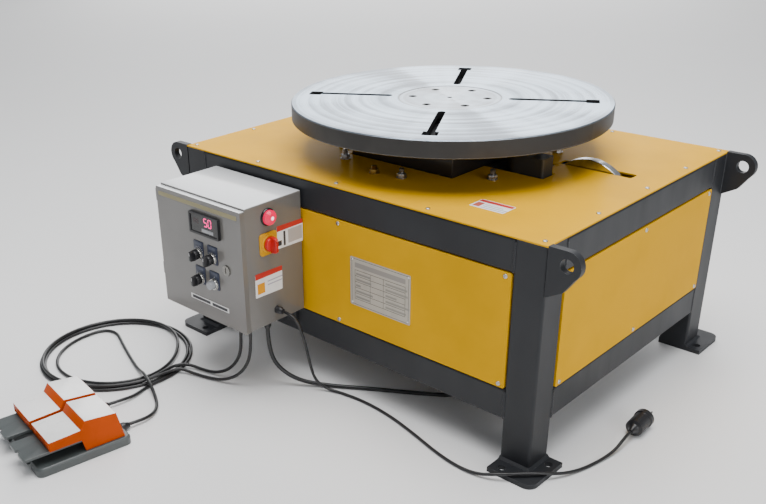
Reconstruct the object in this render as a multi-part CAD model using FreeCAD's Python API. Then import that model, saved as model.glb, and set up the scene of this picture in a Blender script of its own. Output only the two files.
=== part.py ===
"""Floor-standing welding positioner with a horizontal T-slotted faceplate.

Millimetres, +Z up.  The origin is on the floor, on the faceplate's axis of
rotation, midway between the four feet.  +X runs along the long front of the
frame, the operator stands on the -Y side.
"""
import FreeCAD, Part
import math
import os
from FreeCAD import Vector as V

# ---------------------------------------------------------------- frame
FRAME_L = 1040.0          # length over the legs, X
FRAME_W = 780.0           # depth over the legs, Y
FRAME_H = 497.0           # top of the upper rails
TUBE = 70.0               # square tube of legs and rails
TUBE_WALL = 5.0
TUBE_CORNER = 6.0         # outer corner radius of the tube
LOWER_RAIL_Z = 104.0      # underside of the lower rails
FOOT_T = 11.0             # foot plate thickness
FOOT_OUT_X = 36.0         # foot plate past the leg, along X
FOOT_OUT_Y = 45.0         # foot plate past the leg, along Y
FOOT_CORNER = 22.0        # rounded outer corner of the foot plate
ANCHOR_R = 9.0            # anchor bolt hole
ANCHOR_EDGE = 18.0        # hole centre to the plate's outer edge
ANCHOR_INSET = 24.0       # hole centre to the plate's inner edge
WELD = 5.0                # fillet weld leg
LUG_T = 15.0              # lifting lug plate
LUG_REACH = 40.0          # eye centre out from the leg
LUG_EYE_Z = FRAME_H - 25.0
LUG_EYE_R = 14.0
LUG_NOSE_R = 29.0
LUG_NECK_OUT = 36.0       # lug's lower shoulder, out from the leg
LUG_NECK_Z = FRAME_H - 79.0
LUG_FOOT_Z = FRAME_H - 99.0

# ---------------------------------------------------------------- covers
COVER_T = 3.0             # top cover sheet
SHEET_T = 2.0             # side panel sheet
PANEL_DEPTH = 14.0        # folded depth of a side panel
PANEL_PROUD = 1.5         # panel face stands proud of the tubes
PANEL_GAP = 1.5           # gap all round a panel
PANEL_CORNER = 4.0
STRIP_W = 25.0            # welded strip behind a panel's edge
STRIP_T = 5.0
SCREW_R = 5.0             # head of a panel or cover screw
SCREW_H = 2.5
SCREW_INSET = 13.0        # panel screw centre to the panel's edge
COVER_INSET = 18.0        # cover screw centre to the cover's edge
COVER_SCREW_X = (-502.0, -274.0, -21.0, 232.0, 502.0)
COVER_SCREW_Y = (-180.0, 20.0, 200.0)

# ---------------------------------------------------------------- turret under the faceplate
BEAM_X = 100.0            # centre of each cross beam
BASE_PLATE_X = 290.0      # half length of the base plate
BASE_PLATE_T = 12.0
TURRET_X = 148.0          # half size of the turret box
TURRET_Y = 181.0
TURRET_WALL = 16.0
COVER_GAP = 4.0           # cover sheet round the turret
TONGUE_R = 32.0           # rounded tongue of cover sheet beside the gearbox
TONGUE_X = 297.0
TONGUE_Y = 18.0
FINGER_X = 305.0          # end of the cover's narrow opening
FINGER_Y = (-65.0, -14.0)
CHANNEL_Y = (-65.0, 50.0)
WHEEL_SLOT_X = (268.0, 445.0)
WHEEL_SLOT_GAP = 5.0
HEX_BOLT_R = 258.0        # pitch radius of the hold-down bolts
HEX_BOLT_ANGLES = (-31.0, -76.0, -121.0, -149.0, 149.0, 121.0, 76.0, 31.0)
HEX_AF = 19.0
HEX_H = 8.0
WASHER_R = 12.0
WASHER_T = 2.5
EARTH_STUD = (-6.0, -264.0)

# ---------------------------------------------------------------- turntable and its drive
PLATE_R = 375.0           # faceplate radius
PLATE_T = 40.0
PLATE_RISE = 126.0        # faceplate's top over the frame's top
PLATE_TOP = FRAME_H + PLATE_RISE
PLATE_CHAMFER = 2.0
SLOT_ANGLE = 30.0         # first T-slot at rest
SLOT_COUNT = 4
SLOT_IN_R = 146.0
SLOT_OUT_R = 341.0
SLOT_W = 18.0
SLOT_HEAD_W = 34.0        # entry pocket at a slot's outer end
SLOT_HEAD_L = 30.0
TEE_W = 30.0              # undercut of the T-slot
TEE_H = 12.0
TEE_TOP = 17.0            # depth of the narrow part
HUB_RECESS_R = 120.0      # turned centre area
HUB_RECESS_T = 0.6
HUB_PCD_R = 88.0
HUB_BOLT_R = 6.0
HUB_BOLT_HEAD_R = 9.0
HUB_BORE_R = 10.0         # counterbore
HUB_BORE_T = 13.0
CENTRE_R = 6.0
HUB_R = 110.0
SPINDLE_R = 40.0
SPINDLE_DROP = 27.0       # spindle's foot under the frame's top
SPINDLE_FOOT_Z = FRAME_H - SPINDLE_DROP
RACE_IN_R = 120.0         # fixed bearing ring
RACE_OUT_R = 158.0
RACE_GAP = 0.4            # running gap between the rings
RACE_DROP = 8.0           # fixed ring's top under the faceplate
SHAFT_GAP = 0.05          # running fit of shafts, radial
MODULE = 4.0
RING_TEETH = 96
PINION_TEETH = 20
PRESSURE_ANGLE = 20.0     # degrees
BACKLASH = 0.25           # taken off each gear's tooth, along the pitch circle
GEAR_TOP = PLATE_TOP - PLATE_T
RING_GEAR_T = 30.0
GEAR_ROOM = 10.0          # turret's top under the ring gear
TURRET_TOP = GEAR_TOP - RING_GEAR_T - GEAR_ROOM
RACE_TOP = GEAR_TOP - RACE_DROP
PINION_Y = -25.0
PINION_SHAFT_R = 18.0
WORM_X = 342.0            # worm axis
WORM_DROP = 82.0          # worm axis under the frame's top
WORM_Z = FRAME_H - WORM_DROP
WORM_SHAFT_R = 14.0
WHEEL_R = 105.0           # smooth wheel on the worm shaft
WHEEL_T = 20.0
WHEEL_Y = 74.0
WHEEL_HUB_R = 28.0
GEARBOX_R = 82.0
GEARBOX_H = 101.0
GEARBOX_DROP = 24.0       # gear case's top under the frame's top
GEARBOX_Z = (FRAME_H - GEARBOX_DROP - GEARBOX_H, FRAME_H - GEARBOX_DROP)
SHAFT_SUNK = 40.0         # pinion shaft's foot over the gear case's
LINK_HALF = 30.0          # half size of the webs between case and worm housing
NECK_R = 36.0
NECK_TOP = GEAR_TOP - RING_GEAR_T - 8.0
WORM_HOUSE_R = 46.0
WORM_HOUSE_Y = (-75.0, 56.0)
MOTOR_FLANGE_R = 75.0
MOTOR_FLANGE_T = 12.0
MOTOR_R = 62.0            # over the cooling fins
MOTOR_CORE_R = 54.0
MOTOR_FINS = 24
MOTOR_FIN_T = 3.0
MOTOR_COWL_L = 27.0
MOTOR_ROOM = 6.0          # motor's end to the front rail
MOTOR_POCKET = 1.0        # gear case clear of the motor's flange
TERMINAL_Y = (40.0, 120.0)     # terminal box, from the motor's seat
TERMINAL_W = 80.0
TERMINAL_OUT = 28.0       # terminal box past the cooling fins

# ---------------------------------------------------------------- control box
BOX_X = (-401.0, -109.0)
BOX_TOP = FRAME_H - 25.0
BOX_H = 294.0
BOX_Z = (BOX_TOP - BOX_H, BOX_TOP)
BOX_DEPTH = 168.0
BOX_SHEET = 2.0
BOX_RIM = 12.0
BAR_W = 30.0              # mounting bars welded to the back of the box
BAR_T = 6.0
BAR_Z = (LOWER_RAIL_Z + 26.0, BOX_TOP - 8.0)
BOX_BACK_Y = -FRAME_W / 2 - PANEL_PROUD - BAR_T
DOOR_GAP = 1.0
DOOR_T = 13.0
DOOR_LIP = 1.0            # door wider than the box on each side
DOOR_Z = (BOX_Z[0] - 1.0, BOX_TOP - 4.0)
HINGE_R = 5.0
HINGE_OUT = 6.0           # hinge axis out from the box side
HINGE_L = 30.0
HINGE_Z = (BOX_Z[0] + 37.0, BOX_TOP - 72.0)
METER = (-226.0, BOX_TOP - 59.0, 101.0, 50.0, 8.0)      # centre x, z, width, height, proud
METER_BODY = (92.0, 45.0, 60.0)
LEGEND_X = (-258.0, -209.0)
LEGEND_Z = (BOX_TOP - 127.0, BOX_TOP - 189.0)
LEGEND_W = 34.0
LEGEND_H = 44.0
LEGEND_T = 1.5
OPERATOR_DROP = 8.0       # operator centre below the legend's centre
COLLAR_R = 14.0
COLLAR_H = 6.0
KNOB_R = 11.5
KNOB_H = 22.0
CAP_R = 10.0
CAP_H = 14.0
CAP_TRAVEL = 4.0
LOCK = (-164.0, BOX_TOP - 152.0)
LOCK_R = 12.0
SWITCH = (BOX_BACK_Y - 105.0, BOX_TOP - 95.0)   # main switch centre y, z on the right side
SWITCH_W = 52.0
SWITCH_PLATE_T = 4.0
SWITCH_KNOB_R = 17.0
LAMP = (BOX_BACK_Y - 102.5, BOX_TOP - 34.0)
LAMP_R = 20.0
SIDE_GLAND = (BOX_BACK_Y - 86.5, BOX_Z[0] + 30.0)
GLAND_R = 10.0
GLAND_H = 20.0
BOTTOM_GLANDS = ((-150.0, BOX_BACK_Y - 137.5), (-190.0, BOX_BACK_Y - 132.5),
                 (-128.0, BOX_BACK_Y - 102.5))
PLATE_INSET = 25.0        # mounting plate in from the box's sides
PLATE_STAND = 14.0        # mounting plate off the box's back
PLATE_SHEET = 3.0
STUD_INSET = 40.0
STUD_R = 5.0
DRIVE_IN = (45.0, 90.0)   # speed drive, from the box's left and bottom
DRIVE_SIZE = (90.0, 85.0, 150.0)
DRIVE_VENTS = 5
VENT_PITCH = 16.0
VENT_W = 8.0
VENT_H = 12.0
VENT_BACK = 37.0          # length of a vent, from the mounting plate
NAMEPLATE_X = (37.0, 208.0)
NAMEPLATE_Z = (236.0, 352.0)
NAMEPLATE_T = 1.0

# ---------------------------------------------------------------- foot switch
PEDAL_AT = (-303.0, -955.0)
PEDAL_TURN = -9.0
PEDAL_W = 222.0
PEDAL_L = 214.0
PEDAL_BASE_H = 20.0
PEDAL_CORNER = 14.0
HOOD_W = 98.0
HOOD_PITCH = 108.0
HOOD_T = 3.0
HOOD_H = 92.0             # top of the tall rear part, over the floor
HOOD_FRONT_H = 70.0
TREAD_W = 84.0
TREAD_L = 150.0
TREAD_T = 7.0
TREAD_AXIS_Z = 42.0
TREAD_PIN_R = 4.0
TREAD_DROP = 7.0          # degrees

# ---------------------------------------------------------------- cords
PEDAL_CORD_R = 4.0
MOTOR_CORD_R = 5.0
SUPPLY_CORD_R = 3.5
COIL_AT = (-540.0, -660.0)
COIL_R = 176.0
COIL_HALF_W = 30.0
COIL_HALF_H = 13.0
PLUG_R = 19.0
# Route points between a fixed end and the coil, or along the floor.
LEFT_TO_COIL = [(-332.0, -791.5, 10.5), (-331.0, -757.0, 7.0), (-339.0, -728.0, 4.6),
                (-348.0, -702.0, 4.6)]
LEFT_FROM_COIL = [(-372.0, -604.0, 14.0), (-345.0, -576.0, 13.0), (-306.0, -563.0, 5.5),
                  (-263.0, -553.0, 9.0), (-223.0, -541.0, 32.0)]
RIGHT_TO_COIL = [(-225.2, -808.6, 10.5), (-231.0, -772.0, 7.0), (-255.0, -742.0, 4.6),
                 (-289.0, -722.0, 6.0), (-320.0, -709.0, 15.0), (-348.0, -699.0, 20.0)]
RIGHT_FROM_COIL = [(-362.0, -628.0, 13.0), (-344.0, -604.0, 13.5), (-312.0, -592.0, 7.0),
                   (-272.0, -580.0, 4.6), (-228.0, -567.0, 8.0), (-186.0, -552.0, 30.0)]
MOTOR_ROUTE = [(-82.0, -454.0, 16.0), (-22.0, -410.0, 5.4), (62.0, -354.0, 5.4), (152.0, -300.0, 5.4),
               (236.0, -250.0, 9.0), (298.0, -208.0, 32.0), (336.0, -178.0, 82.0),
               (347.0, -164.0, 145.0), (345.0, -168.0, 205.0), (342.0, -167.0, 260.0)]
SUPPLY_ROUTE = [(-10.0, -424.0, 6.0), (24.0, -412.0, 3.8), (88.0, -405.0, 3.8),
                (172.0, -412.0, 3.8), (262.0, -434.0, 3.8), (344.0, -458.0, 3.8),
                (408.0, -467.0, 3.8), (450.0, -463.0, 7.0), (480.0, -451.0, 15.0),
                (512.0, -427.0, 19.0), (548.0, -391.0, 19.0), (574.0, -352.0, 9.0),
                (592.0, -305.0, 3.8), (604.0, -252.0, 3.8), (612.0, -205.0, 9.5),
                (611.0, -166.0, 21.0), (609.5, -140.0, 21.0)]

# Steps down from a gland: along X and Y from its tip, and the share of its height left.
LEFT_DROP = ((0.0, 0.0, 0.747), (-7.0, -2.0, 0.456))
RIGHT_DROP = ((0.0, 0.0, 0.747), (-8.0, -5.0, 0.443))
MOTOR_DROP = ((0.0, 0.0, 0.696), (10.0, 12.0, 0.354))
SUPPLY_DROP = ((24.0, 0.0, 1.0), (45.0, 3.0, 0.923), (53.0, 11.0, 0.731), (51.0, 24.0, 0.51),
               (48.0, 36.0, 0.298), (55.0, 44.0, 0.125))

SHAPES = {}


def keep(name, shape):
    """File a finished solid, or a group of separate solids, under its node name."""
    SHAPES[name] = shape.removeSplitter() if shape.ShapeType == "Solid" else shape


def box(x0, x1, y0, y1, z0, z1):
    return Part.makeBox(x1 - x0, y1 - y0, z1 - z0, V(x0, y0, z0))


def cyl(r, h, at, axis=V(0, 0, 1)):
    return Part.makeCylinder(r, h, at, axis)


def prism(points, along):
    """Straight extrusion of a closed polygon of 3-D points."""
    wire = Part.makePolygon(points + [points[0]])
    return Part.Face(wire).extrude(along)


def plate_xz(points, y, thick):
    return prism([V(x, y, z) for x, z in points], V(0, thick, 0))


def round_edges(shape, radius, pick):
    edges = [e for e in shape.Edges if pick(e)]
    return shape.makeFillet(radius, edges) if edges else shape


def is_along(edge, axis):
    """True for a straight edge parallel to the axis index."""
    if edge.Curve.TypeId != "Part::GeomLine":
        return False
    d = edge.tangentAt(edge.FirstParameter)
    return abs((d.x, d.y, d.z)[axis]) > 0.999


def tube(x0, x1, y0, y1, z0, z1, axis):
    """Hollow square tube with rounded outer corners, open at both ends."""
    outer = round_edges(box(x0, x1, y0, y1, z0, z1), TUBE_CORNER,
                        lambda e: is_along(e, axis))
    lo = [x0, y0, z0]
    hi = [x1, y1, z1]
    for i in range(3):
        if i != axis:
            lo[i] += TUBE_WALL
            hi[i] -= TUBE_WALL
    return outer.cut(box(lo[0], hi[0], lo[1], hi[1], lo[2], hi[2]))


def mirrored(shape, sx, sy):
    """Copy of a front-right piece for the corner with the given signs."""
    out = shape.copy()
    if sx < 0:
        out = out.mirror(V(0, 0, 0), V(1, 0, 0))
    if sy > 0:
        out = out.mirror(V(0, 0, 0), V(0, 1, 0))
    return out


CORNERS = (("front_right", 1, -1), ("front_left", -1, -1),
           ("rear_right", 1, 1), ("rear_left", -1, 1))
HALF_L = FRAME_L / 2
HALF_W = FRAME_W / 2
IN_L = HALF_L - TUBE
IN_W = HALF_W - TUBE
COVER_TOP = FRAME_H + COVER_T
MOTOR_L = IN_W - MOTOR_ROOM + WORM_HOUSE_Y[0] - 2 * MOTOR_FLANGE_T - MOTOR_COWL_L
PINION_CENTRE = MODULE * (RING_TEETH + PINION_TEETH) / 2
PINION_X = math.sqrt(PINION_CENTRE ** 2 - PINION_Y ** 2)


# ================================================================ frame
def build_frame():
    leg = tube(IN_L, HALF_L, -HALF_W, -IN_W, FOOT_T, FRAME_H, 2)
    x1, y0 = HALF_L + FOOT_OUT_X, -HALF_W - FOOT_OUT_Y
    foot = round_edges(box(IN_L, x1, y0, -IN_W, 0, FOOT_T), FOOT_CORNER,
                       lambda e: is_along(e, 2) and e.BoundBox.XMin > HALF_L
                       and e.BoundBox.YMax < -HALF_W)
    for x, y in anchor_points():
        foot = foot.cut(cyl(ANCHOR_R, FOOT_T, V(x, y, 0)))
    bead = box(IN_L, HALF_L + WELD, -HALF_W - WELD, -IN_W, FOOT_T, FOOT_T + WELD)
    bead = bead.makeChamfer(WELD * 0.98, [
        e for e in bead.Edges if e.BoundBox.ZMin > FOOT_T + WELD / 2
        and (e.BoundBox.XMin > HALF_L or e.BoundBox.YMax < -HALF_W)])
    hollow = box(IN_L + TUBE_WALL, HALF_L - TUBE_WALL, -HALF_W + TUBE_WALL,
                 -IN_W - TUBE_WALL, FOOT_T, FRAME_H)
    leg = leg.fuse([foot, bead.cut(hollow)]).removeSplitter()
    for name, sx, sy in CORNERS:
        keep("leg_" + name, mirrored(leg, sx, sy))
    for level, z in (("top", FRAME_H - TUBE), ("lower", LOWER_RAIL_Z)):
        keep(level + "_rail_front", tube(-IN_L, IN_L, -HALF_W, -IN_W, z, z + TUBE, 0))
        keep(level + "_rail_rear", tube(-IN_L, IN_L, IN_W, HALF_W, z, z + TUBE, 0))
        keep(level + "_rail_right", tube(IN_L, HALF_L, -IN_W, IN_W, z, z + TUBE, 1))
        keep(level + "_rail_left", tube(-HALF_L, -IN_L, -IN_W, IN_W, z, z + TUBE, 1))
    lug = lifting_lug()
    keep("lifting_lugs_right", Part.makeCompound([mirrored(lug, 1, -1), mirrored(lug, 1, 1)]))
    keep("lifting_lugs_left", Part.makeCompound([mirrored(lug, -1, -1), mirrored(lug, -1, 1)]))


def anchor_points():
    """Both anchor holes of the front-right foot."""
    x1, y0 = HALF_L + FOOT_OUT_X, -HALF_W - FOOT_OUT_Y
    return ((IN_L + ANCHOR_INSET, y0 + ANCHOR_EDGE), (x1 - ANCHOR_EDGE, -IN_W - ANCHOR_INSET))


def lifting_lug():
    """Eye plate welded flat against the leg's outer side, flush with the front."""
    cx, r = HALF_L + LUG_REACH, LUG_NOSE_R
    start, low = math.radians(90), math.radians(-50)
    at = lambda a: V(cx + r * math.cos(a), -HALF_W, LUG_EYE_Z + r * math.sin(a))
    nose = Part.Arc(at(start), at((start + low) / 2), at(low)).toShape()
    tail = [at(low), V(HALF_L + LUG_NECK_OUT, -HALF_W, LUG_NECK_Z),
            V(HALF_L, -HALF_W, LUG_FOOT_Z), V(HALF_L, -HALF_W, LUG_EYE_Z + r), at(start)]
    edges = [nose] + [Part.LineSegment(a, b).toShape() for a, b in zip(tail, tail[1:])]
    body = Part.Face(Part.Wire(edges)).extrude(V(0, LUG_T, 0))
    return body.cut(cyl(LUG_EYE_R, LUG_T, V(cx, -HALF_W, LUG_EYE_Z), V(0, 1, 0)))


# ================================================================ covers
PANEL_Z = (LOWER_RAIL_Z + TUBE + PANEL_GAP, FRAME_H - TUBE - PANEL_GAP)


def panel(half):
    """Front-facing folded tray, centred on X, face at -Y."""
    z0, z1 = PANEL_Z
    y0 = -HALF_W - PANEL_PROUD
    skin = round_edges(box(-half, half, y0, y0 + PANEL_DEPTH, z0, z1), PANEL_CORNER,
                       lambda e: is_along(e, 1))
    return skin.cut(box(-half + SHEET_T, half - SHEET_T, y0 + SHEET_T, y0 + PANEL_DEPTH,
                        z0 + SHEET_T, z1 - SHEET_T))


def panel_screw_points(half):
    z0, z1 = PANEL_Z
    return [(x, z) for x in (-half + SCREW_INSET, 0.0, half - SCREW_INSET)
            for z in (z0 + SCREW_INSET * 0.6, z1 - SCREW_INSET * 0.6)]


def turned(shape, degrees, shift=V(0, 0, 0)):
    out = shape.copy()
    out.rotate(V(0, 0, 0), V(0, 0, 1), degrees)
    out.translate(shift)
    return out


def screw(at, axis):
    """Low raised head, seated at a point and standing out along an axis."""
    return Part.makeCone(SCREW_R, SCREW_R * 0.72, SCREW_H, at, axis)


def build_covers():
    front_half, side_half = IN_L - PANEL_GAP, IN_W - PANEL_GAP
    side_shift = HALF_L - HALF_W
    sides = (("front", front_half, 0, V(0, 0, 0)), ("rear", front_half, 180, V(0, 0, 0)),
             ("right", side_half, 90, V(side_shift, 0, 0)),
             ("left", side_half, -90, V(-side_shift, 0, 0)))
    screws, strips = [], []
    y_face = -HALF_W - PANEL_PROUD
    for name, half, angle, shift in sides:
        keep(name + "_panel", turned(panel(half), angle, shift))
        for x, z in panel_screw_points(half):
            hidden = name == "front" and BOX_X[0] - SCREW_R < x < BOX_X[1] + SCREW_R
            if not hidden:
                screws.append(turned(screw(V(x, y_face, z), V(0, -1, 0)), angle, shift))
        y = y_face + PANEL_DEPTH
        for z in (LOWER_RAIL_Z + TUBE, FRAME_H - TUBE - STRIP_W):
            strips.append(turned(box(-half, half, y, y + STRIP_T, z, z + STRIP_W), angle, shift))
    keep("panel_strips", Part.makeCompound(strips))
    edge_x, edge_y = HALF_L - COVER_INSET, HALF_W - COVER_INSET
    spots = [(x, s * edge_y) for x in COVER_SCREW_X for s in (-1, 1)]
    spots += [(s * edge_x, y) for y in COVER_SCREW_Y for s in (-1, 1)]
    screws += [screw(V(x, y, COVER_TOP), V(0, 0, 1)) for x, y in spots]
    screws += hold_down_bolts()
    keep("cover_and_panel_screws", Part.makeCompound(screws))
    keep("top_cover", top_cover())


def hex_prism(across, height, at):
    r = across / math.sqrt(3)
    pts = [at + V(r * math.cos(math.radians(60 * i)), r * math.sin(math.radians(60 * i)), 0)
           for i in range(6)]
    return prism(pts, V(0, 0, height))


def hold_down_bolts():
    """Hexagon bolts with washers through the cover into the base plate, and the earth stud."""
    bolts = []
    for angle in HEX_BOLT_ANGLES:
        a = math.radians(angle)
        at = V(HEX_BOLT_R * math.cos(a), HEX_BOLT_R * math.sin(a), COVER_TOP)
        bolts.append(cyl(WASHER_R, WASHER_T, at).fuse(
            hex_prism(HEX_AF, HEX_H, at + V(0, 0, WASHER_T))))
    at = V(EARTH_STUD[0], EARTH_STUD[1], COVER_TOP)
    stud = cyl(WASHER_R, WASHER_T, at).fuse(hex_prism(HEX_AF, HEX_H, at + V(0, 0, WASHER_T)))
    return bolts + [stud.fuse(cyl(HUB_BOLT_R, WASHER_T + 2 * HEX_H, at))]


def top_cover():
    sheet = box(-HALF_L, HALF_L, -HALF_W, HALF_W, FRAME_H, COVER_TOP)
    z0, z1 = FRAME_H, COVER_TOP
    gap_x, gap_y = TURRET_X + COVER_GAP, TURRET_Y + COVER_GAP
    hole = box(-gap_x, gap_x, -gap_y, gap_y, z0, z1)
    channel = box(TURRET_X, TONGUE_X, CHANNEL_Y[0], CHANNEL_Y[1], z0, z1)
    channel = channel.cut(cyl(TONGUE_R, COVER_T, V(TONGUE_X, TONGUE_Y, z0)))
    finger = box(TONGUE_X - 1, FINGER_X, FINGER_Y[0], FINGER_Y[1], z0, z1)
    half = WHEEL_T / 2 + WHEEL_SLOT_GAP
    slot = round_edges(box(WHEEL_SLOT_X[0], WHEEL_SLOT_X[1], WHEEL_Y - half, WHEEL_Y + half,
                           z0, z1), WHEEL_SLOT_GAP, lambda e: is_along(e, 2))
    return sheet.cut([hole, channel, finger, slot])


# ================================================================ turret
def build_turret():
    for name, x in (("left", -BEAM_X), ("right", BEAM_X)):
        top = FRAME_H - BASE_PLATE_T
        keep("cross_beam_" + name, tube(x - TUBE / 2, x + TUBE / 2, -IN_W, IN_W,
                                        top - TUBE, top, 1))
    plate = box(-BASE_PLATE_X, BASE_PLATE_X, -IN_W, IN_W, FRAME_H - BASE_PLATE_T, FRAME_H)
    cut_y = WHEEL_Y + WHEEL_T / 2 + WHEEL_SLOT_GAP + COVER_GAP
    plate = plate.cut(box(TURRET_X + TURRET_WALL, BASE_PLATE_X, -cut_y, cut_y,
                          FRAME_H - BASE_PLATE_T, FRAME_H))
    plate = plate.cut(cyl(SPINDLE_R + WHEEL_SLOT_GAP, BASE_PLATE_T,
                          V(0, 0, FRAME_H - BASE_PLATE_T)))
    keep("turret_base_plate", plate)
    w = TURRET_WALL
    turret = box(-TURRET_X, TURRET_X, -TURRET_Y, TURRET_Y, FRAME_H, TURRET_TOP)
    turret = turret.cut(box(-TURRET_X + w, TURRET_X - w, -TURRET_Y + w, TURRET_Y - w,
                            FRAME_H, TURRET_TOP - w))
    turret = turret.cut(cyl(SPINDLE_R + SHAFT_GAP, w, V(0, 0, TURRET_TOP - w)))
    keep("turret_box", turret)
    race = cyl(RACE_OUT_R, RACE_TOP - TURRET_TOP, V(0, 0, TURRET_TOP))
    race = race.cut(cyl(RACE_IN_R, RACE_TOP - TURRET_TOP, V(0, 0, TURRET_TOP)))
    keep("bearing_fixed_ring", race)


# ================================================================ gears
def tooth_half_angle(teeth, r):
    """Half the angle that an involute tooth fills at a radius."""
    pitch_r = MODULE * teeth / 2
    base_r = pitch_r * math.cos(math.radians(PRESSURE_ANGLE))
    roll = lambda a: math.tan(a) - a
    here = roll(math.acos(min(1.0, base_r / r)))
    half_pitch = (math.pi * MODULE / 2 - BACKLASH) / 2 / pitch_r
    return half_pitch + roll(math.radians(PRESSURE_ANGLE)) - here


def gear_outline(teeth, z, turn):
    """Closed polygon of an involute gear, its flanks in two chords inside the curve."""
    pitch_r = MODULE * teeth / 2
    base_r = pitch_r * math.cos(math.radians(PRESSURE_ANGLE))
    tip, root = pitch_r + MODULE, pitch_r - 1.25 * MODULE
    flank = [(r, tooth_half_angle(teeth, r)) for r in (max(base_r, root), pitch_r + 0.1, tip)]
    if root < base_r:
        flank.insert(0, (root, flank[0][1]))
    points = []
    for i in range(teeth):
        mid = turn + i * 2 * math.pi / teeth
        for r, half in [(r, -half) for r, half in flank] + flank[::-1]:
            points.append(V(r * math.cos(mid + half), r * math.sin(mid + half), z))
    return points


def gear(teeth, z0, height, turn):
    return prism(gear_outline(teeth, z0, turn), V(0, 0, height))


def build_turntable():
    z0 = GEAR_TOP
    plate = cyl(PLATE_R, PLATE_T, V(0, 0, z0))
    plate = plate.makeChamfer(PLATE_CHAMFER, [e for e in plate.Edges
                              if e.Curve.TypeId == "Part::GeomCircle"])
    cuts = [cyl(HUB_RECESS_R, HUB_RECESS_T, V(0, 0, PLATE_TOP - HUB_RECESS_T)),
            cyl(CENTRE_R, PLATE_T, V(0, 0, z0))]
    for i in range(SLOT_COUNT):
        cuts.append(turned(tee_slot(), SLOT_ANGLE + i * 360.0 / SLOT_COUNT))
    plate = plate.cut(cuts)
    cuts = []
    for x, y in hub_points():
        cuts.append(cyl(HUB_BOLT_R + SHAFT_GAP, PLATE_T, V(x, y, z0)))
        cuts.append(cyl(HUB_BORE_R, HUB_BORE_T, V(x, y, PLATE_TOP - HUB_BORE_T)))
    keep("faceplate", plate.cut(cuts))
    hub = cyl(HUB_R, RING_GEAR_T, V(0, 0, z0 - RING_GEAR_T))
    hub = hub.fuse(cyl(SPINDLE_R, z0 - SPINDLE_FOOT_Z, V(0, 0, SPINDLE_FOOT_Z)))
    hub = hub.cut([cyl(HUB_BOLT_R + SHAFT_GAP, RING_GEAR_T, V(x, y, z0 - RING_GEAR_T))
                   for x, y in hub_points()])
    keep("faceplate_hub", hub)
    bolts = []
    for x, y in hub_points():
        seat = PLATE_TOP - HUB_BORE_T
        head = cyl(HUB_BOLT_HEAD_R, 2 * HUB_BOLT_R, V(x, y, seat))
        head = head.cut(hex_prism(HUB_BOLT_HEAD_R * 1.1, HUB_BOLT_R, V(x, y, seat + HUB_BOLT_R)))
        shank = cyl(HUB_BOLT_R, seat - z0 + RING_GEAR_T * 0.8, V(x, y, z0 - RING_GEAR_T * 0.8))
        bolts.append(head.fuse(shank))
    keep("hub_bolts", Part.makeCompound(bolts))
    mesh = math.atan2(PINION_Y, PINION_X)
    ring = gear(RING_TEETH, z0 - RING_GEAR_T, RING_GEAR_T, mesh)
    keep("ring_gear", ring.cut(cyl(RACE_OUT_R + RACE_GAP, RING_GEAR_T, V(0, 0, z0 - RING_GEAR_T))))


def hub_points():
    return [(HUB_PCD_R * math.cos(math.radians(SLOT_ANGLE + 60 * i)),
             HUB_PCD_R * math.sin(math.radians(SLOT_ANGLE + 60 * i))) for i in range(6)]


def tee_slot():
    """Cutter for one radial T-slot along +X, with its wide entry pocket."""
    top, mid = PLATE_TOP, PLATE_TOP - TEE_TOP
    low = mid - TEE_H
    neck = box(SLOT_IN_R, SLOT_OUT_R, -SLOT_W / 2, SLOT_W / 2, mid, top)
    neck = neck.fuse(cyl(SLOT_W / 2, TEE_TOP, V(SLOT_IN_R, 0, mid)))
    tee = box(SLOT_IN_R, SLOT_OUT_R, -TEE_W / 2, TEE_W / 2, low, mid)
    tee = tee.fuse(cyl(TEE_W / 2, TEE_H, V(SLOT_IN_R, 0, low)))
    head = box(SLOT_OUT_R - SLOT_HEAD_L, SLOT_OUT_R, -SLOT_HEAD_W / 2, SLOT_HEAD_W / 2, low, top)
    return neck.fuse([tee, head])


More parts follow.
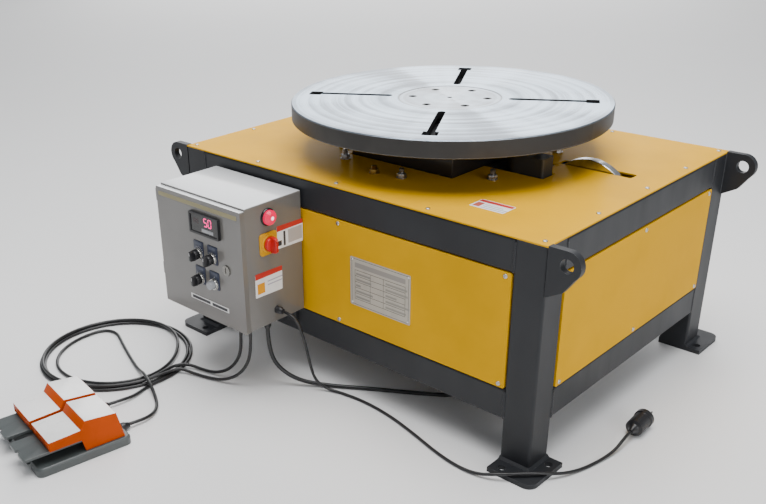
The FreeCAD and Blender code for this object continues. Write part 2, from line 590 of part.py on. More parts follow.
def build_drive():
    centre = V(PINION_X, PINION_Y, 0)
    mesh = math.atan2(PINION_Y, PINION_X) + math.pi
    step = 2 * math.pi / PINION_TEETH
    pinion = gear(PINION_TEETH, GEAR_TOP - RING_GEAR_T + 2, RING_GEAR_T - 4, mesh + step / 2)
    pinion.translate(centre)
    shaft_z = GEARBOX_Z[0] + SHAFT_SUNK
    pinion = pinion.fuse(cyl(PINION_SHAFT_R, GEAR_TOP - 2 - shaft_z, centre + V(0, 0, shaft_z)))
    keep("pinion", pinion)

    z0, z1 = GEARBOX_Z
    under = FRAME_H - BASE_PLATE_T
    cut_y = WHEEL_Y + WHEEL_T / 2 + WHEEL_SLOT_GAP + COVER_GAP
    case = cyl(GEARBOX_R, z1 - z0, centre + V(0, 0, z0))
    flange = box(TURRET_X - 2 * COVER_GAP, BASE_PLATE_X, -cut_y - LINK_HALF, WORM_HOUSE_Y[1],
                 z1, under)
    flange = round_edges(flange, 10, lambda e: is_along(e, 2))
    neck = cyl(NECK_R, NECK_TOP - under, centre + V(0, 0, under))
    rib = box(PINION_X, FINGER_X - COVER_GAP, FINGER_Y[0] + COVER_GAP, FINGER_Y[1] - COVER_GAP,
              z1, NECK_TOP - COVER_GAP)
    rib = round_edges(rib, 6, lambda e: is_along(e, 2) and e.BoundBox.XMin > PINION_X + 1)
    y0, y1 = WORM_HOUSE_Y
    house = cyl(WORM_HOUSE_R, y1 - y0, V(WORM_X, y0, WORM_Z), V(0, 1, 0))
    seat = cyl(MOTOR_FLANGE_R, MOTOR_FLANGE_T, V(WORM_X, y0, WORM_Z), V(0, -1, 0))
    link = box(PINION_X, WORM_X, y0 + 12, y1 - 12, WORM_Z - LINK_HALF,
               WORM_Z + LINK_HALF)
    case = case.fuse([flange, neck, rib, house, seat, link])
    bore = cyl(PINION_SHAFT_R + SHAFT_GAP, NECK_TOP - shaft_z + 2, centre + V(0, 0, shaft_z - 2))
    worm_bore = cyl(WORM_SHAFT_R + SHAFT_GAP, y1 - y0 - 20, V(WORM_X, y0 + 20, WORM_Z), V(0, 1, 0))
    pocket = cyl(MOTOR_FLANGE_R + MOTOR_POCKET, GEARBOX_R,
                 V(WORM_X, y0 - MOTOR_FLANGE_T, WORM_Z), V(0, -1, 0))
    keep("reducer_housing", case.cut([bore, worm_bore, pocket]).removeSplitter())

    shaft = cyl(WORM_SHAFT_R, WHEEL_Y + WHEEL_T - (y0 + 21), V(WORM_X, y0 + 21, WORM_Z), V(0, 1, 0))
    wheel = cyl(WHEEL_R, WHEEL_T, V(WORM_X, WHEEL_Y - WHEEL_T / 2, WORM_Z), V(0, 1, 0))
    wheel = wheel.makeChamfer(1.0, [e for e in wheel.Edges if e.Curve.TypeId == "Part::GeomCircle"])
    hub = cyl(WHEEL_HUB_R, WHEEL_T + 8, V(WORM_X, WHEEL_Y - WHEEL_T / 2 - 4, WORM_Z), V(0, 1, 0))
    keep("worm_shaft_wheel", wheel.fuse([shaft, hub]))

    m0 = y0 - MOTOR_FLANGE_T
    flange = cyl(MOTOR_FLANGE_R, MOTOR_FLANGE_T, V(WORM_X, m0, WORM_Z), V(0, -1, 0))
    m1 = m0 - MOTOR_FLANGE_T
    body = cyl(MOTOR_CORE_R, MOTOR_L, V(WORM_X, m1, WORM_Z), V(0, -1, 0))
    fins = []
    for i in range(MOTOR_FINS):
        fin = box(WORM_X - MOTOR_FIN_T / 2, WORM_X + MOTOR_FIN_T / 2, m1 - MOTOR_L, m1,
                  WORM_Z + MOTOR_CORE_R - 2, WORM_Z + MOTOR_R)
        fin.rotate(V(WORM_X, 0, WORM_Z), V(0, 1, 0), (i + 0.5) * 360.0 / MOTOR_FINS)
        fins.append(fin)
    body = body.fuse(fins)
    m2 = m1 - MOTOR_L
    cowl = cyl(MOTOR_R + 2, MOTOR_COWL_L - 8, V(WORM_X, m2, WORM_Z), V(0, -1, 0))
    cowl = cowl.fuse(Part.makeCone(MOTOR_R + 2, MOTOR_R - 6, 8,
                                   V(WORM_X, m2 - MOTOR_COWL_L + 8, WORM_Z), V(0, -1, 0)))
    tbox = box(WORM_X - TERMINAL_W / 2, WORM_X + TERMINAL_W / 2, m0 - TERMINAL_Y[1],
               m0 - TERMINAL_Y[0], WORM_Z - MOTOR_R - TERMINAL_OUT, WORM_Z)
    entry = gland(motor_entry(), V(0, 0, -1))
    keep("drive_motor", body.fuse([flange, cowl, tbox, entry]).removeSplitter())


def motor_entry():
    """Seat of the gland under the motor's terminal box."""
    return V(WORM_X, WORM_HOUSE_Y[0] - MOTOR_FLANGE_T - sum(TERMINAL_Y) / 2,
             WORM_Z - MOTOR_R - TERMINAL_OUT)


# ================================================================ control box
BOX_FRONT_Y = BOX_BACK_Y - BOX_DEPTH
DOOR_BACK_Y = BOX_FRONT_Y - DOOR_GAP
DOOR_FACE_Y = DOOR_BACK_Y - DOOR_T
HINGE_X = BOX_X[0] - HINGE_OUT
HINGE_Y = BOX_FRONT_Y + 2.0


def build_box():
    x0, x1 = BOX_X
    z0, z1 = BOX_Z
    s = BOX_SHEET
    body = round_edges(box(x0, x1, BOX_FRONT_Y, BOX_BACK_Y, z0, z1), 3,
                       lambda e: is_along(e, 1))
    body = body.cut(box(x0 + s, x1 - s, BOX_FRONT_Y + s, BOX_BACK_Y - s, z0 + s, z1 - s))
    body = body.cut(box(x0 + BOX_RIM, x1 - s, BOX_FRONT_Y, BOX_FRONT_Y + s,
                        z0 + BOX_RIM, z1 - BOX_RIM))
    bars = []
    for x in (x0 + BAR_W, x1 - 2 * BAR_W):
        y = BOX_BACK_Y + BAR_T
        bars += [box(x, x + BAR_W, BOX_BACK_Y, y, BAR_Z[0], BAR_Z[1]),
                 box(x, x + BAR_W, y, -HALF_W, BAR_Z[0], LOWER_RAIL_Z + TUBE),
                 box(x, x + BAR_W, y, -HALF_W, FRAME_H - TUBE, BAR_Z[1])]
    hinge = []
    for z in HINGE_Z:
        hinge.append(cyl(HINGE_R, HINGE_L, V(HINGE_X, HINGE_Y, z)))
        hinge.append(box(HINGE_X, x0, HINGE_Y, HINGE_Y + 3, z, z + HINGE_L))
        hinge.append(box(x0 - 3, x0, HINGE_Y, HINGE_Y + 25, z, z + HINGE_L))
        hinge.append(cyl(HINGE_R / 2, 2 * HINGE_L, V(HINGE_X, HINGE_Y, z)))
    keep("control_box_body", body.fuse(bars + hinge).removeSplitter())

    plate_y = BOX_BACK_Y - s - PLATE_STAND
    drive_y = plate_y - PLATE_SHEET
    plate = box(x0 + PLATE_INSET, x1 - PLATE_INSET, drive_y, plate_y,
                z0 + PLATE_INSET, z1 - PLATE_INSET)
    studs = [cyl(STUD_R, PLATE_STAND, V(x, plate_y, z), V(0, 1, 0))
             for x in (x0 + STUD_INSET, x1 - STUD_INSET)
             for z in (z0 + STUD_INSET, z1 - STUD_INSET)]
    keep("mounting_plate", plate.fuse(studs))
    dx, dz = x0 + DRIVE_IN[0], z0 + DRIVE_IN[1]
    w, d, h = DRIVE_SIZE
    drive = box(dx, dx + w, drive_y - d, drive_y, dz, dz + h)
    first = dx + (w - (DRIVE_VENTS - 1) * VENT_PITCH - VENT_W) / 2
    vents = [box(first + i * VENT_PITCH, first + i * VENT_PITCH + VENT_W, drive_y - VENT_BACK,
                 drive_y, dz + h - VENT_H, dz + h) for i in range(DRIVE_VENTS)]
    keep("speed_drive", drive.cut(vents))

    d = DOOR_LIP
    y0, y1 = DOOR_FACE_Y, DOOR_BACK_Y
    door = round_edges(box(x0 - d, x1 + d, y0, y1, DOOR_Z[0], DOOR_Z[1]), 3,
                       lambda e: is_along(e, 1))
    door = door.cut(box(x0 - d + s, x1 + d - s, y0 + s, y1, DOOR_Z[0] + s, DOOR_Z[1] - s))
    knuckles = []
    for z in HINGE_Z:
        knuckles.append(cyl(HINGE_R, HINGE_L - 0.5, V(HINGE_X, HINGE_Y, z + HINGE_L + 0.5)))
        knuckles.append(box(HINGE_X, x0 - d, y0 + 2, HINGE_Y, z + HINGE_L + 0.5, z + 2 * HINGE_L))
    bore = [cyl(HINGE_R / 2 + SHAFT_GAP, HINGE_L, V(HINGE_X, HINGE_Y, z + HINGE_L))
            for z in HINGE_Z]
    door = door.fuse(knuckles).cut(bore)
    mx, mz, mw, mh, mp = METER
    bw, bh, bd = METER_BODY
    door = door.cut(box(mx - bw / 2, mx + bw / 2, y0, y0 + s, mz - bh / 2, mz + bh / 2))
    keep("control_box_door", door.removeSplitter())

    meter = round_edges(box(mx - mw / 2, mx + mw / 2, y0 - mp, y0, mz - mh / 2, mz + mh / 2), 3,
                        lambda e: is_along(e, 1))
    meter = meter.fuse(box(mx - bw / 2, mx + bw / 2, y0, y0 + bd, mz - bh / 2, mz + bh / 2))
    meter = meter.cut(box(mx - mw / 2 + 6, mx + mw / 2 - 6, y0 - mp, y0 - mp + 2,
                          mz - mh / 2 + 6, mz + mh / 2 - 6))
    keep("panel_meter", meter.removeSplitter())

    legends = []
    for x, z in operator_points():
        zc = z + OPERATOR_DROP
        tag = round_edges(box(x - LEGEND_W / 2, x + LEGEND_W / 2, y0 - LEGEND_T, y0,
                              zc - LEGEND_H / 2, zc + LEGEND_H / 2), 3, lambda e: is_along(e, 1))
        collar = cyl(COLLAR_R, COLLAR_H, V(x, y0 - LEGEND_T, z), V(0, -1, 0))
        well = cyl(CAP_R + 0.3, COLLAR_H, V(x, y0 - LEGEND_T, z), V(0, -1, 0))
        legends.append(tag.fuse(collar.cut(well)))
    keep("legend_plates", Part.makeCompound(legends))

    seat = y0 - LEGEND_T - COLLAR_H
    names = ("speed_knob", "direction_knob", "mode_knob")
    for name, (x, z) in zip(names, operator_points()[:3]):
        stem = cyl(CAP_R, COLLAR_H, V(x, seat + COLLAR_H, z), V(0, -1, 0))
        knob = cyl(KNOB_R, KNOB_H * 0.55, V(x, seat - 0.3, z), V(0, -1, 0)).fuse(stem)
        grip = box(x - 4, x + 4, seat - KNOB_H, seat - 0.3, z - KNOB_R - 2, z + KNOB_R)
        knob = knob.fuse(round_edges(grip, 2, lambda e: is_along(e, 1)))
        keep(name, knob.removeSplitter())
    x, z = operator_points()[3]
    back = y0 - LEGEND_T - CAP_TRAVEL - 0.5
    cap = cyl(CAP_R, CAP_H - 1.5, V(x, back, z), V(0, -1, 0))
    crown = Part.makeCone(CAP_R, CAP_R - 1.5, 1.5, V(x, back - CAP_H + 1.5, z), V(0, -1, 0))
    keep("push_button", cap.fuse(crown))
    lx, lz = LOCK
    insert = cyl(LOCK_R, 3, V(lx, y0, lz), V(0, -1, 0))
    insert = insert.cut(box(lx - 1.5, lx + 1.5, y0 - 3, y0 - 1, lz - 7, lz + 7))
    insert = insert.fuse(cyl(5, 14, V(lx, y0, lz), V(0, 1, 0)))
    insert = insert.fuse(box(lx - 6, lx + 44, y0 + 14, y0 + 17, lz - 7, lz + 7))
    keep("door_lock", insert)
    SHAPES["control_box_door"] = SHAPES["control_box_door"].cut(
        cyl(5 + SHAFT_GAP, s, V(lx, y0, lz), V(0, 1, 0)))

    ly, lz = LAMP
    bezel = cyl(LAMP_R, 5, V(x1, ly, lz), V(1, 0, 0))
    lens = cyl(LAMP_R - 3, 7, V(x1 + 5, ly, lz), V(1, 0, 0))
    nose = Part.makeCone(LAMP_R - 3, LAMP_R - 9, 6, V(x1 + 12, ly, lz), V(1, 0, 0))
    keep("signal_lamp", bezel.fuse([lens, nose]))
    sy, sz = SWITCH
    h = SWITCH_W / 2
    plate = round_edges(box(x1, x1 + SWITCH_PLATE_T, sy - h, sy + h, sz - h, sz + h), 3,
                        lambda e: is_along(e, 0))
    ring = cyl(SWITCH_KNOB_R + 4, 3, V(x1 + SWITCH_PLATE_T, sy, sz), V(1, 0, 0))
    keep("main_switch_plate", plate.fuse(ring))
    xk = x1 + SWITCH_PLATE_T + 3 + 0.4
    knob = cyl(SWITCH_KNOB_R, 9, V(xk, sy, sz), V(1, 0, 0))
    grip = round_edges(box(xk + 8, xk + 24, sy - 5, sy + 5, sz - SWITCH_KNOB_R - 2,
                           sz + SWITCH_KNOB_R + 2), 3, lambda e: is_along(e, 0))
    pin = cyl(5, 0.8, V(xk - 0.4, sy, sz), V(1, 0, 0))
    keep("main_switch_handle", knob.fuse([grip, pin]).removeSplitter())

    glands = [gland(V(x, y, z0), V(0, 0, -1)) for x, y in BOTTOM_GLANDS]
    glands.append(gland(V(x1, SIDE_GLAND[0], SIDE_GLAND[1]), V(1, 0, 0)))
    keep("cable_glands", Part.makeCompound(glands))
    n = round_edges(box(NAMEPLATE_X[0], NAMEPLATE_X[1], -HALF_W - PANEL_PROUD - NAMEPLATE_T,
                        -HALF_W - PANEL_PROUD, NAMEPLATE_Z[0], NAMEPLATE_Z[1]), 3,
                    lambda e: is_along(e, 1))
    keep("nameplate", n)


def operator_points():
    """Centres of the four operators on the door, row by row."""
    return [(x, z - OPERATOR_DROP) for z in LEGEND_Z for x in LEGEND_X]


def gland(at, axis):
    base = cyl(GLAND_R, GLAND_H * 0.45, at, axis)
    dome = Part.makeCone(GLAND_R * 0.95, GLAND_R * 0.6, GLAND_H * 0.55,
                         at + axis * (GLAND_H * 0.45), axis)
    return base.fuse(dome)


# ================================================================ foot switch
def placed(shape):
    """From the foot switch's own frame, rear along +Y, to its place on the floor."""
    out = shape.copy()
    out.rotate(V(0, 0, 0), V(0, 0, 1), PEDAL_TURN)
    out.translate(V(PEDAL_AT[0], PEDAL_AT[1], 0))
    return out


TREAD_AXIS_Y = 22.0


def build_foot_switch():
    w, l = PEDAL_W / 2, PEDAL_L / 2
    base = round_edges(box(-w, w, -l, l, 0, PEDAL_BASE_H), PEDAL_CORNER, lambda e: is_along(e, 2))
    base = base.makeChamfer(4, [e for e in base.Edges if e.BoundBox.ZMin > PEDAL_BASE_H - 0.1])
    for s in (-1, 1):
        x = s * HOOD_PITCH / 2
        base = base.cut(cyl(11, PEDAL_BASE_H, V(x, -l, 0)))
    guards, ears = [], []
    for s in (-1, 1):
        x = s * HOOD_PITCH / 2
        for side in (-1, 1):
            ex = x + side * (TREAD_W / 2 + 2.2)
            ears.append(box(ex - 1.7, ex + 1.7, TREAD_AXIS_Y - 8, TREAD_AXIS_Y + 8,
                            PEDAL_BASE_H, TREAD_AXIS_Z + 8))
        guards.append(placed(hood(x)))
        keep("treadle_" + ("left" if s < 0 else "right"), placed(treadle(x)))
    base = base.fuse(ears)
    for s in (-1, 1):
        base = base.cut(cyl(TREAD_PIN_R + SHAFT_GAP, TREAD_W + 12,
                            V(s * HOOD_PITCH / 2 - TREAD_W / 2 - 6, TREAD_AXIS_Y, TREAD_AXIS_Z),
                            V(1, 0, 0)))
    for s in (-1, 1):
        exit_at = V(s * HOOD_PITCH / 2, l, PEDAL_BASE_H * 0.55)
        base = base.fuse(gland(exit_at, V(0, 1, 0)))
    keep("foot_switch_base", placed(base.removeSplitter()))
    keep("foot_switch_guards", Part.makeCompound(guards))


def hood(x):
    """Open-fronted guard: a low roof over the treadle and a taller closed rear."""
    l, w, t = PEDAL_L / 2, HOOD_W / 2, HOOD_T
    outer = [(-l + 34, HOOD_FRONT_H - 22), (-l + 34, HOOD_FRONT_H), (-2, HOOD_FRONT_H + 3),
             (10, HOOD_H), (l - 26, HOOD_H - 8), (l - 12, PEDAL_BASE_H), (4, PEDAL_BASE_H),
             (-2, HOOD_FRONT_H - 22)]
    solid = prism([V(x - w, y, z) for y, z in outer], V(2 * w, 0, 0))
    inner = [(-l, PEDAL_BASE_H - 1), (-l, HOOD_FRONT_H - t), (-2, HOOD_FRONT_H + 3 - t),
             (10 + t, HOOD_H - t), (l - 28, HOOD_H - 8 - t), (l - 15, PEDAL_BASE_H - 1)]
    hollow = prism([V(x - w + t, y, z) for y, z in inner], V(2 * (w - t), 0, 0))
    return solid.cut(hollow)


def treadle(x):
    """Ribbed foot plate on a cross pin, its nose past the guard."""
    w = TREAD_W / 2
    front = TREAD_AXIS_Y - TREAD_L
    plate = box(x - w, x + w, front, TREAD_AXIS_Y, TREAD_AXIS_Z - 2, TREAD_AXIS_Z - 2 + TREAD_T)
    plate = round_edges(plate, 8, lambda e: is_along(e, 2) and e.BoundBox.YMax < front + 1)
    pin = cyl(TREAD_PIN_R, TREAD_W + 6, V(x - w - 3, TREAD_AXIS_Y, TREAD_AXIS_Z), V(1, 0, 0))
    boss = cyl(8, TREAD_W, V(x - w, TREAD_AXIS_Y, TREAD_AXIS_Z), V(1, 0, 0))
    plate = plate.cut(cyl(9, 40, V(x, front - 2, TREAD_AXIS_Z - 20)))
    return plate.fuse([boss, pin]).removeSplitter()


# ================================================================ cords
def smooth_path(points):
    """Wire of straight runs joined by tangent arcs, each as large as its runs allow."""
    points = [V(*p) for p in points]
    edges, at, radii = [], points[0], []
    for a, b, c in zip(points, points[1:], points[2:]):
        u, v = (a - b), (c - b)
        short = min(u.Length, v.Length)
        u.normalize()
        v.normalize()
        half = (math.pi - math.acos(max(-1, min(1, u.dot(v))))) / 2
        cut = 0.45 * short
        radii.append(cut / math.tan(half))
        p, q = b + u * cut, b + v * cut
        mid_dir = (u + v)
        mid_dir.normalize()
        r = radii[-1]
        centre = b + mid_dir * (r / math.cos(half))
        mid = centre - mid_dir * r
        edges.append(Part.LineSegment(at, p).toShape())
        edges.append(Part.Arc(p, mid, q).toShape())
        at = q
    edges.append(Part.LineSegment(at, points[-1]).toShape())
    return Part.Wire(edges), radii


def cord(name, points, radius):
    wire, radii = smooth_path(points)
    start = wire.Edges[0]
    circle = Part.Wire(Part.makeCircle(radius, start.Vertexes[0].Point,
                                       start.tangentAt(start.FirstParameter)))
    tube_solid = wire.makePipeShell([circle], True, False)
    want = math.pi * radius ** 2 * wire.Length
    print("%-18s length %6.0f  volume/want %.4f  least radius %5.1f  runs %s" % (
        name, wire.Length, tube_solid.Volume / want, min(radii),
        [round((V(*b) - V(*a)).Length) for a, b in zip(points, points[1:])]))
    return tube_solid


def pedal_exit(side):
    """Where a pedal's cord leaves its strain relief, in the machine's frame."""
    x, y = side * HOOD_PITCH / 2, PEDAL_L / 2 + GLAND_H
    a = math.radians(PEDAL_TURN)
    return (PEDAL_AT[0] + x * math.cos(a) - y * math.sin(a),
            PEDAL_AT[1] + x * math.sin(a) + y * math.cos(a), PEDAL_BASE_H * 0.55)


def dropped(tip, steps):
    """A gland's tip and the cord's points below it."""
    x, y, z = tip
    return [tip] + [(x + dx, y + dy, z * share) for dx, dy, share in steps]


def build_cords():
    cx, cy = COIL_AT
    side, top = 0.55 * COIL_HALF_W, 0.45 * COIL_HALF_H
    corners = [(side, -COIL_HALF_H), (COIL_HALF_W, -top), (COIL_HALF_W, top), (side, COIL_HALF_H)]
    corners += [(-x, z) for x, z in reversed(corners)]
    loop = [V(cx + COIL_R + x, cy, COIL_HALF_H + z) for x, z in corners]
    section = Part.Face(Part.makePolygon(loop + loop[:1]))
    keep("pedal_cord_coil", section.revolve(V(cx, cy, 0), V(0, 0, 1), 360))
    tips = [(x, y, BOX_Z[0] - GLAND_H) for x, y in BOTTOM_GLANDS]
    for name, side, to_coil, from_coil, drop, tip in (
            ("left", -1, LEFT_TO_COIL, LEFT_FROM_COIL, LEFT_DROP, tips[1]),
            ("right", 1, RIGHT_TO_COIL, RIGHT_FROM_COIL, RIGHT_DROP, tips[0])):
        a = cord("pedal cord " + name, [pedal_exit(side)] + to_coil, PEDAL_CORD_R)
        b = cord("  to the box", from_coil + dropped(tip, drop)[::-1], PEDAL_CORD_R)
        keep("pedal_cord_" + name, Part.makeCompound([a, b]))
    m = motor_entry()
    keep("motor_cable", cord("motor cable", dropped(tips[2], MOTOR_DROP) + MOTOR_ROUTE
                             + [(m.x, m.y, m.z - GLAND_H)], MOTOR_CORD_R))
    tip = (BOX_X[1] + GLAND_H, SIDE_GLAND[0], SIDE_GLAND[1])
    keep("supply_lead", cord("supply lead", dropped(tip, SUPPLY_DROP) + SUPPLY_ROUTE,
                             SUPPLY_CORD_R))
    keep("supply_plug", supply_plug())


def supply_plug():
    """Round mains plug lying on the floor at the end of the supply lead."""
    a, b = V(*SUPPLY_ROUTE[-2]), V(*SUPPLY_ROUTE[-1])
    axis = (b - a).normalize()
    r = PLUG_R
    tail = Part.makeCone(SUPPLY_CORD_R + 2, r * 0.75, 18, b, axis)
    body = cyl(r, 46, b + axis * 18, axis)
    collar = cyl(r + 2, 12, b + axis * 64, axis)
    plug = tail.fuse([body, collar])
    side = axis.cross(V(0, 0, 1))
    for i in range(4):
        t = math.radians(90 * i + 45)
        at = b + axis * 76 + side * (r * 0.55 * math.cos(t)) + V(0, 0, r * 0.55 * math.sin(t))
        plug = plug.fuse(cyl(2.4, 18, at, axis))
    return plug.removeSplitter()


build_frame()
build_covers()
build_turret()
build_turntable()
build_drive()
build_box()
build_foot_switch()
build_cords()

os.makedirs("parts", exist_ok=True)
for node, shape in SHAPES.items():
    shape.exportStep("parts/%s.step" % node)
print(len(SHAPES), "nodes")
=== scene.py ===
"""Looks of a welding positioner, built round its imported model."""

import logging
import math
import random
from collections.abc import Callable, Iterator, Sequence
from contextlib import contextmanager
from dataclasses import dataclass
from enum import Enum
from itertools import product

import bmesh
import bpy
from mathutils import Matrix, Vector


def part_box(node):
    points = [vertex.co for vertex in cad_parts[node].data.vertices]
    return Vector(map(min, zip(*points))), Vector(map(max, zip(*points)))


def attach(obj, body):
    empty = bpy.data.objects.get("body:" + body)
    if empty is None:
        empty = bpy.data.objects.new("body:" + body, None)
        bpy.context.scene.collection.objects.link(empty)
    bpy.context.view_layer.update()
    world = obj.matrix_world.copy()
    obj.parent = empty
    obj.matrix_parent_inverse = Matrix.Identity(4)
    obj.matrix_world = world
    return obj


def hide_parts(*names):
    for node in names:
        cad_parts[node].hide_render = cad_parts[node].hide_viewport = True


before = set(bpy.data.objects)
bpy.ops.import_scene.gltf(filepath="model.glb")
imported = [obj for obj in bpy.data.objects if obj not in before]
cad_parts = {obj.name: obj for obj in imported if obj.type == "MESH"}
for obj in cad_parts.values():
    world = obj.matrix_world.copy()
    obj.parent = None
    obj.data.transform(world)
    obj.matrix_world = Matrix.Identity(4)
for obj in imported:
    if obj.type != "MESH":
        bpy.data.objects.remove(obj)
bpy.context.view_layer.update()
LOG = logging.getLogger("positioner")

Point = tuple[float, float, float]
Colour = tuple[float, float, float]
Pair = tuple[float, float]
UP, ALONG_X, FRONT = Vector((0, 0, 1)), Vector((1, 0, 0)), Vector((0, -1, 0))
ORIGIN = Vector((0, 0, 0))
MERGE = 1e-6      # metres within which two vertices are one
FACING = 0.9      # share of a direction from which a face or an edge counts as along it
BOTH = (-1, 1)


class Body(str, Enum):
    """The bodies that new pieces ride on."""

    MACHINE = "machine"
    DOOR = "door"
    SPEED = "speed_setting"
    DIRECTION = "direction_switch"
    MODE = "mode_switch"
    BUTTON = "start_button"
    SWITCH = "switch_handle"
    PEDAL_LEFT = "pedal_left"
    PEDAL_RIGHT = "pedal_right"


# ---------------------------------------------------------------------- shader recipes
def operator(kind: str, swapped: bool = False) -> Callable[..., "Signal"]:
    """A Python operator that adds a Math node.

    Args:
        kind: the node's operation.
        swapped: whether its inputs change places, as in a reflected form.

    Returns:
        The operator's method.
    """
    def work(signal: "Signal", *others: "Signal | float") -> "Signal":
        """Add the node."""
        values = (signal, *others)
        return signal.maths(kind, *(values[::-1] if swapped else values))
    return work


class Signal:
    """A node output that Python's operators work on."""

    __add__ = __radd__ = operator("ADD")
    __sub__, __rsub__ = operator("SUBTRACT"), operator("SUBTRACT", swapped=True)
    __mul__ = __rmul__ = operator("MULTIPLY")
    __pow__, __abs__ = operator("POWER"), operator("ABSOLUTE")
    __gt__, __lt__ = operator("GREATER_THAN"), operator("LESS_THAN")

    def __init__(self, recipe: "Recipe", socket: bpy.types.NodeSocket) -> None:
        """Keep the recipe and the output socket."""
        self.recipe, self.socket = recipe, socket

    def maths(self, operation: str, *values: "Signal | float") -> "Signal":
        """Add a Math node of an operation, with its inputs in order."""
        inputs = dict(enumerate(values))
        return self.recipe.node("ShaderNodeMath", {"operation": operation}, inputs)

    def between(self, low: float, high: float) -> "Signal":
        """Smooth step from 0 at low to 1 at high."""
        settings = {"interpolation_type": "SMOOTHSTEP"}
        return self.recipe.node("ShaderNodeMapRange", settings, {0: self, 1: low, 2: high})


class Recipe:
    """The node tree of one material, with a Principled surface."""

    def __init__(self, name: str) -> None:
        """Make an empty material of that name."""
        self.material = bpy.data.materials.new(name)
        self.material.use_nodes = True
        self.tree = self.material.node_tree
        self.surface = self.tree.nodes["Principled BSDF"]
        self.place = self.node("ShaderNodeTexCoord", out="Object")

    def node(self, kind: str, settings: dict | None = None,
             inputs: dict | None = None, out: int | str = 0) -> Signal:
        """Add one node.

        Args:
            kind: the node's type.
            settings: its properties.
            inputs: values or signals by the input's name or number.
            out: the output's name or number.

        Returns:
            The chosen output.
        """
        made = self.tree.nodes.new(kind)
        for key, value in (settings or {}).items():
            setattr(made, key, value)
        for key, value in (inputs or {}).items():
            self.feed(made.inputs[key], value)
        return Signal(self, made.outputs[out])

    def feed(self, socket: bpy.types.NodeSocket, value: Signal | Colour | float) -> None:
        """Link a signal to a socket, or set the socket's own value.

        Args:
            socket: the input.
            value: a signal, a number, or a colour as three numbers.
        """
        if isinstance(value, Signal):
            self.tree.links.new(value.socket, socket)
        else:
            socket.default_value = (*value, 1.0) if socket.type == "RGBA" else value

    def set(self, **values: Signal | Colour | float) -> None:
        """Feed the surface's inputs, named with _ for a blank."""
        for key, value in values.items():
            self.feed(self.surface.inputs[key.replace("_", " ")], value)

    def normal(self) -> Signal:
        """The surface normal."""
        return self.node("ShaderNodeNewGeometry", out="Normal")

    def parts(self, vector: Signal) -> tuple[Signal, ...]:
        """The three parts of a vector as numbers."""
        split = self.node("ShaderNodeSeparateXYZ", None, {0: vector})
        return tuple(Signal(self, output) for output in split.socket.node.outputs)

    def noise(self, scale: float, detail: float = 3.0, stretch: Point | None = None,
              along: Signal | None = None) -> Signal:
        """Noise from 0 to 1, over the object or along one number.

        Args:
            scale: grains to the metre.
            detail: octaves.
            stretch: factors that stretch the grain along each axis.
            along: the one number, such as a radius.

        Returns:
            The noise.
        """
        if along is not None:
            return self.node("ShaderNodeTexNoise", {"noise_dimensions": "1D"},
                             {"W": along, "Scale": scale, "Detail": detail})
        at = self.place
        if stretch:
            at = self.node("ShaderNodeMapping", None, {"Vector": at, "Scale": stretch})
        return self.node("ShaderNodeTexNoise", None,
                         {"Vector": at, "Scale": scale, "Detail": detail})

    def mix(self, share: Signal | float, first: Signal | Colour,
            second: Signal | Colour) -> Signal:
        """Blend two colours, the first at share 0 and the second at 1."""
        inputs = {0: share, 6: first, 7: second}
        return self.node("ShaderNodeMix", {"data_type": "RGBA"}, inputs, out=2)

    def edges(self, radius: float) -> Signal:
        """1 on sharp edges and 0 away from them.

        Args:
            radius: how far an edge reaches, in metres.

        Returns:
            The mask.
        """
        rounded = self.node("ShaderNodeBevel", {"samples": 4}, {"Radius": radius})
        dot = self.node("ShaderNodeVectorMath", {"operation": "DOT_PRODUCT"},
                        {0: rounded, 1: self.normal()}, out="Value")
        return (1.0 - dot).between(0.02, 0.2)

    def relief(self, height: Signal, strength: float, depth: float) -> Signal:
        """The normal bumped by a height, with the relief's depth in metres."""
        inputs = {"Height": height, "Strength": strength, "Distance": depth}
        return self.node("ShaderNodeBump", None, inputs)


# ---------------------------------------------------------------------- finishes
MADE: dict[str, bpy.types.Material] = {}


def tint(colour: Colour, factor: float, lift: float = 0.0) -> Colour:
    """A colour times a factor plus a lift, held at 1."""
    return tuple(min(1.0, c * factor + lift) for c in colour)


@dataclass(frozen=True)
class Finish:
    """A named finish, laid as the nodes of one material."""

    name: str

    def make(self) -> str:
        """Build the material.

        Returns:
            The name that it is kept by.
        """
        recipe = Recipe(self.name)
        self.lay(recipe)
        MADE[self.name] = recipe.material
        return self.name

    def lay(self, r: Recipe) -> None:
        """Lay the finish in a material's recipe."""
        raise NotImplementedError


@dataclass(frozen=True)
class Paint(Finish):
    """Sprayed paint on steel, worn along the edges."""

    colour: Colour
    bare: Colour = (0.42, 0.42, 0.42)
    roughness: float = 0.35
    coat: float = 0.3
    peel: float = 0.06
    grime: float = 0.12
    wear: float = 0.35
    # Factor of the painted highlight on the edges.
    light: float = 1.35
    specular: float = 0.5

    def lay(self, r: Recipe) -> None:
        """Lay clouds, streaks, pale edges as a painted highlight, chips and orange peel.

        Args:
            r: the material's recipe.
        """
        dull = tint(self.colour, 1 - self.grime * 2.2)
        streaks = r.noise(26.0, 5.0, (1.0, 1.0, 0.25))
        base = r.mix(r.noise(5.0, 4.0).between(0.35, 0.72), self.colour, dull)
        base = r.mix((streaks > 0.63) * self.grime, base, dull)
        edge = r.edges(0.0015)
        # Painted highlight: sharp edges are lightened by the light factor.
        base = r.mix(edge * 0.75, base, tint(self.colour, self.light, 0.015))
        chips = edge * r.noise(170.0, 3.0).between(0.60, 0.68) * self.wear
        r.set(Base_Color=r.mix(chips, base, self.bare),
              Roughness=streaks * 0.16 + (self.roughness - 0.08),
              Normal=r.relief(r.noise(420.0, 2.0), self.peel, 0.0006),
              Coat_Weight=self.coat, Coat_Roughness=0.12, Specular_IOR_Level=self.specular)


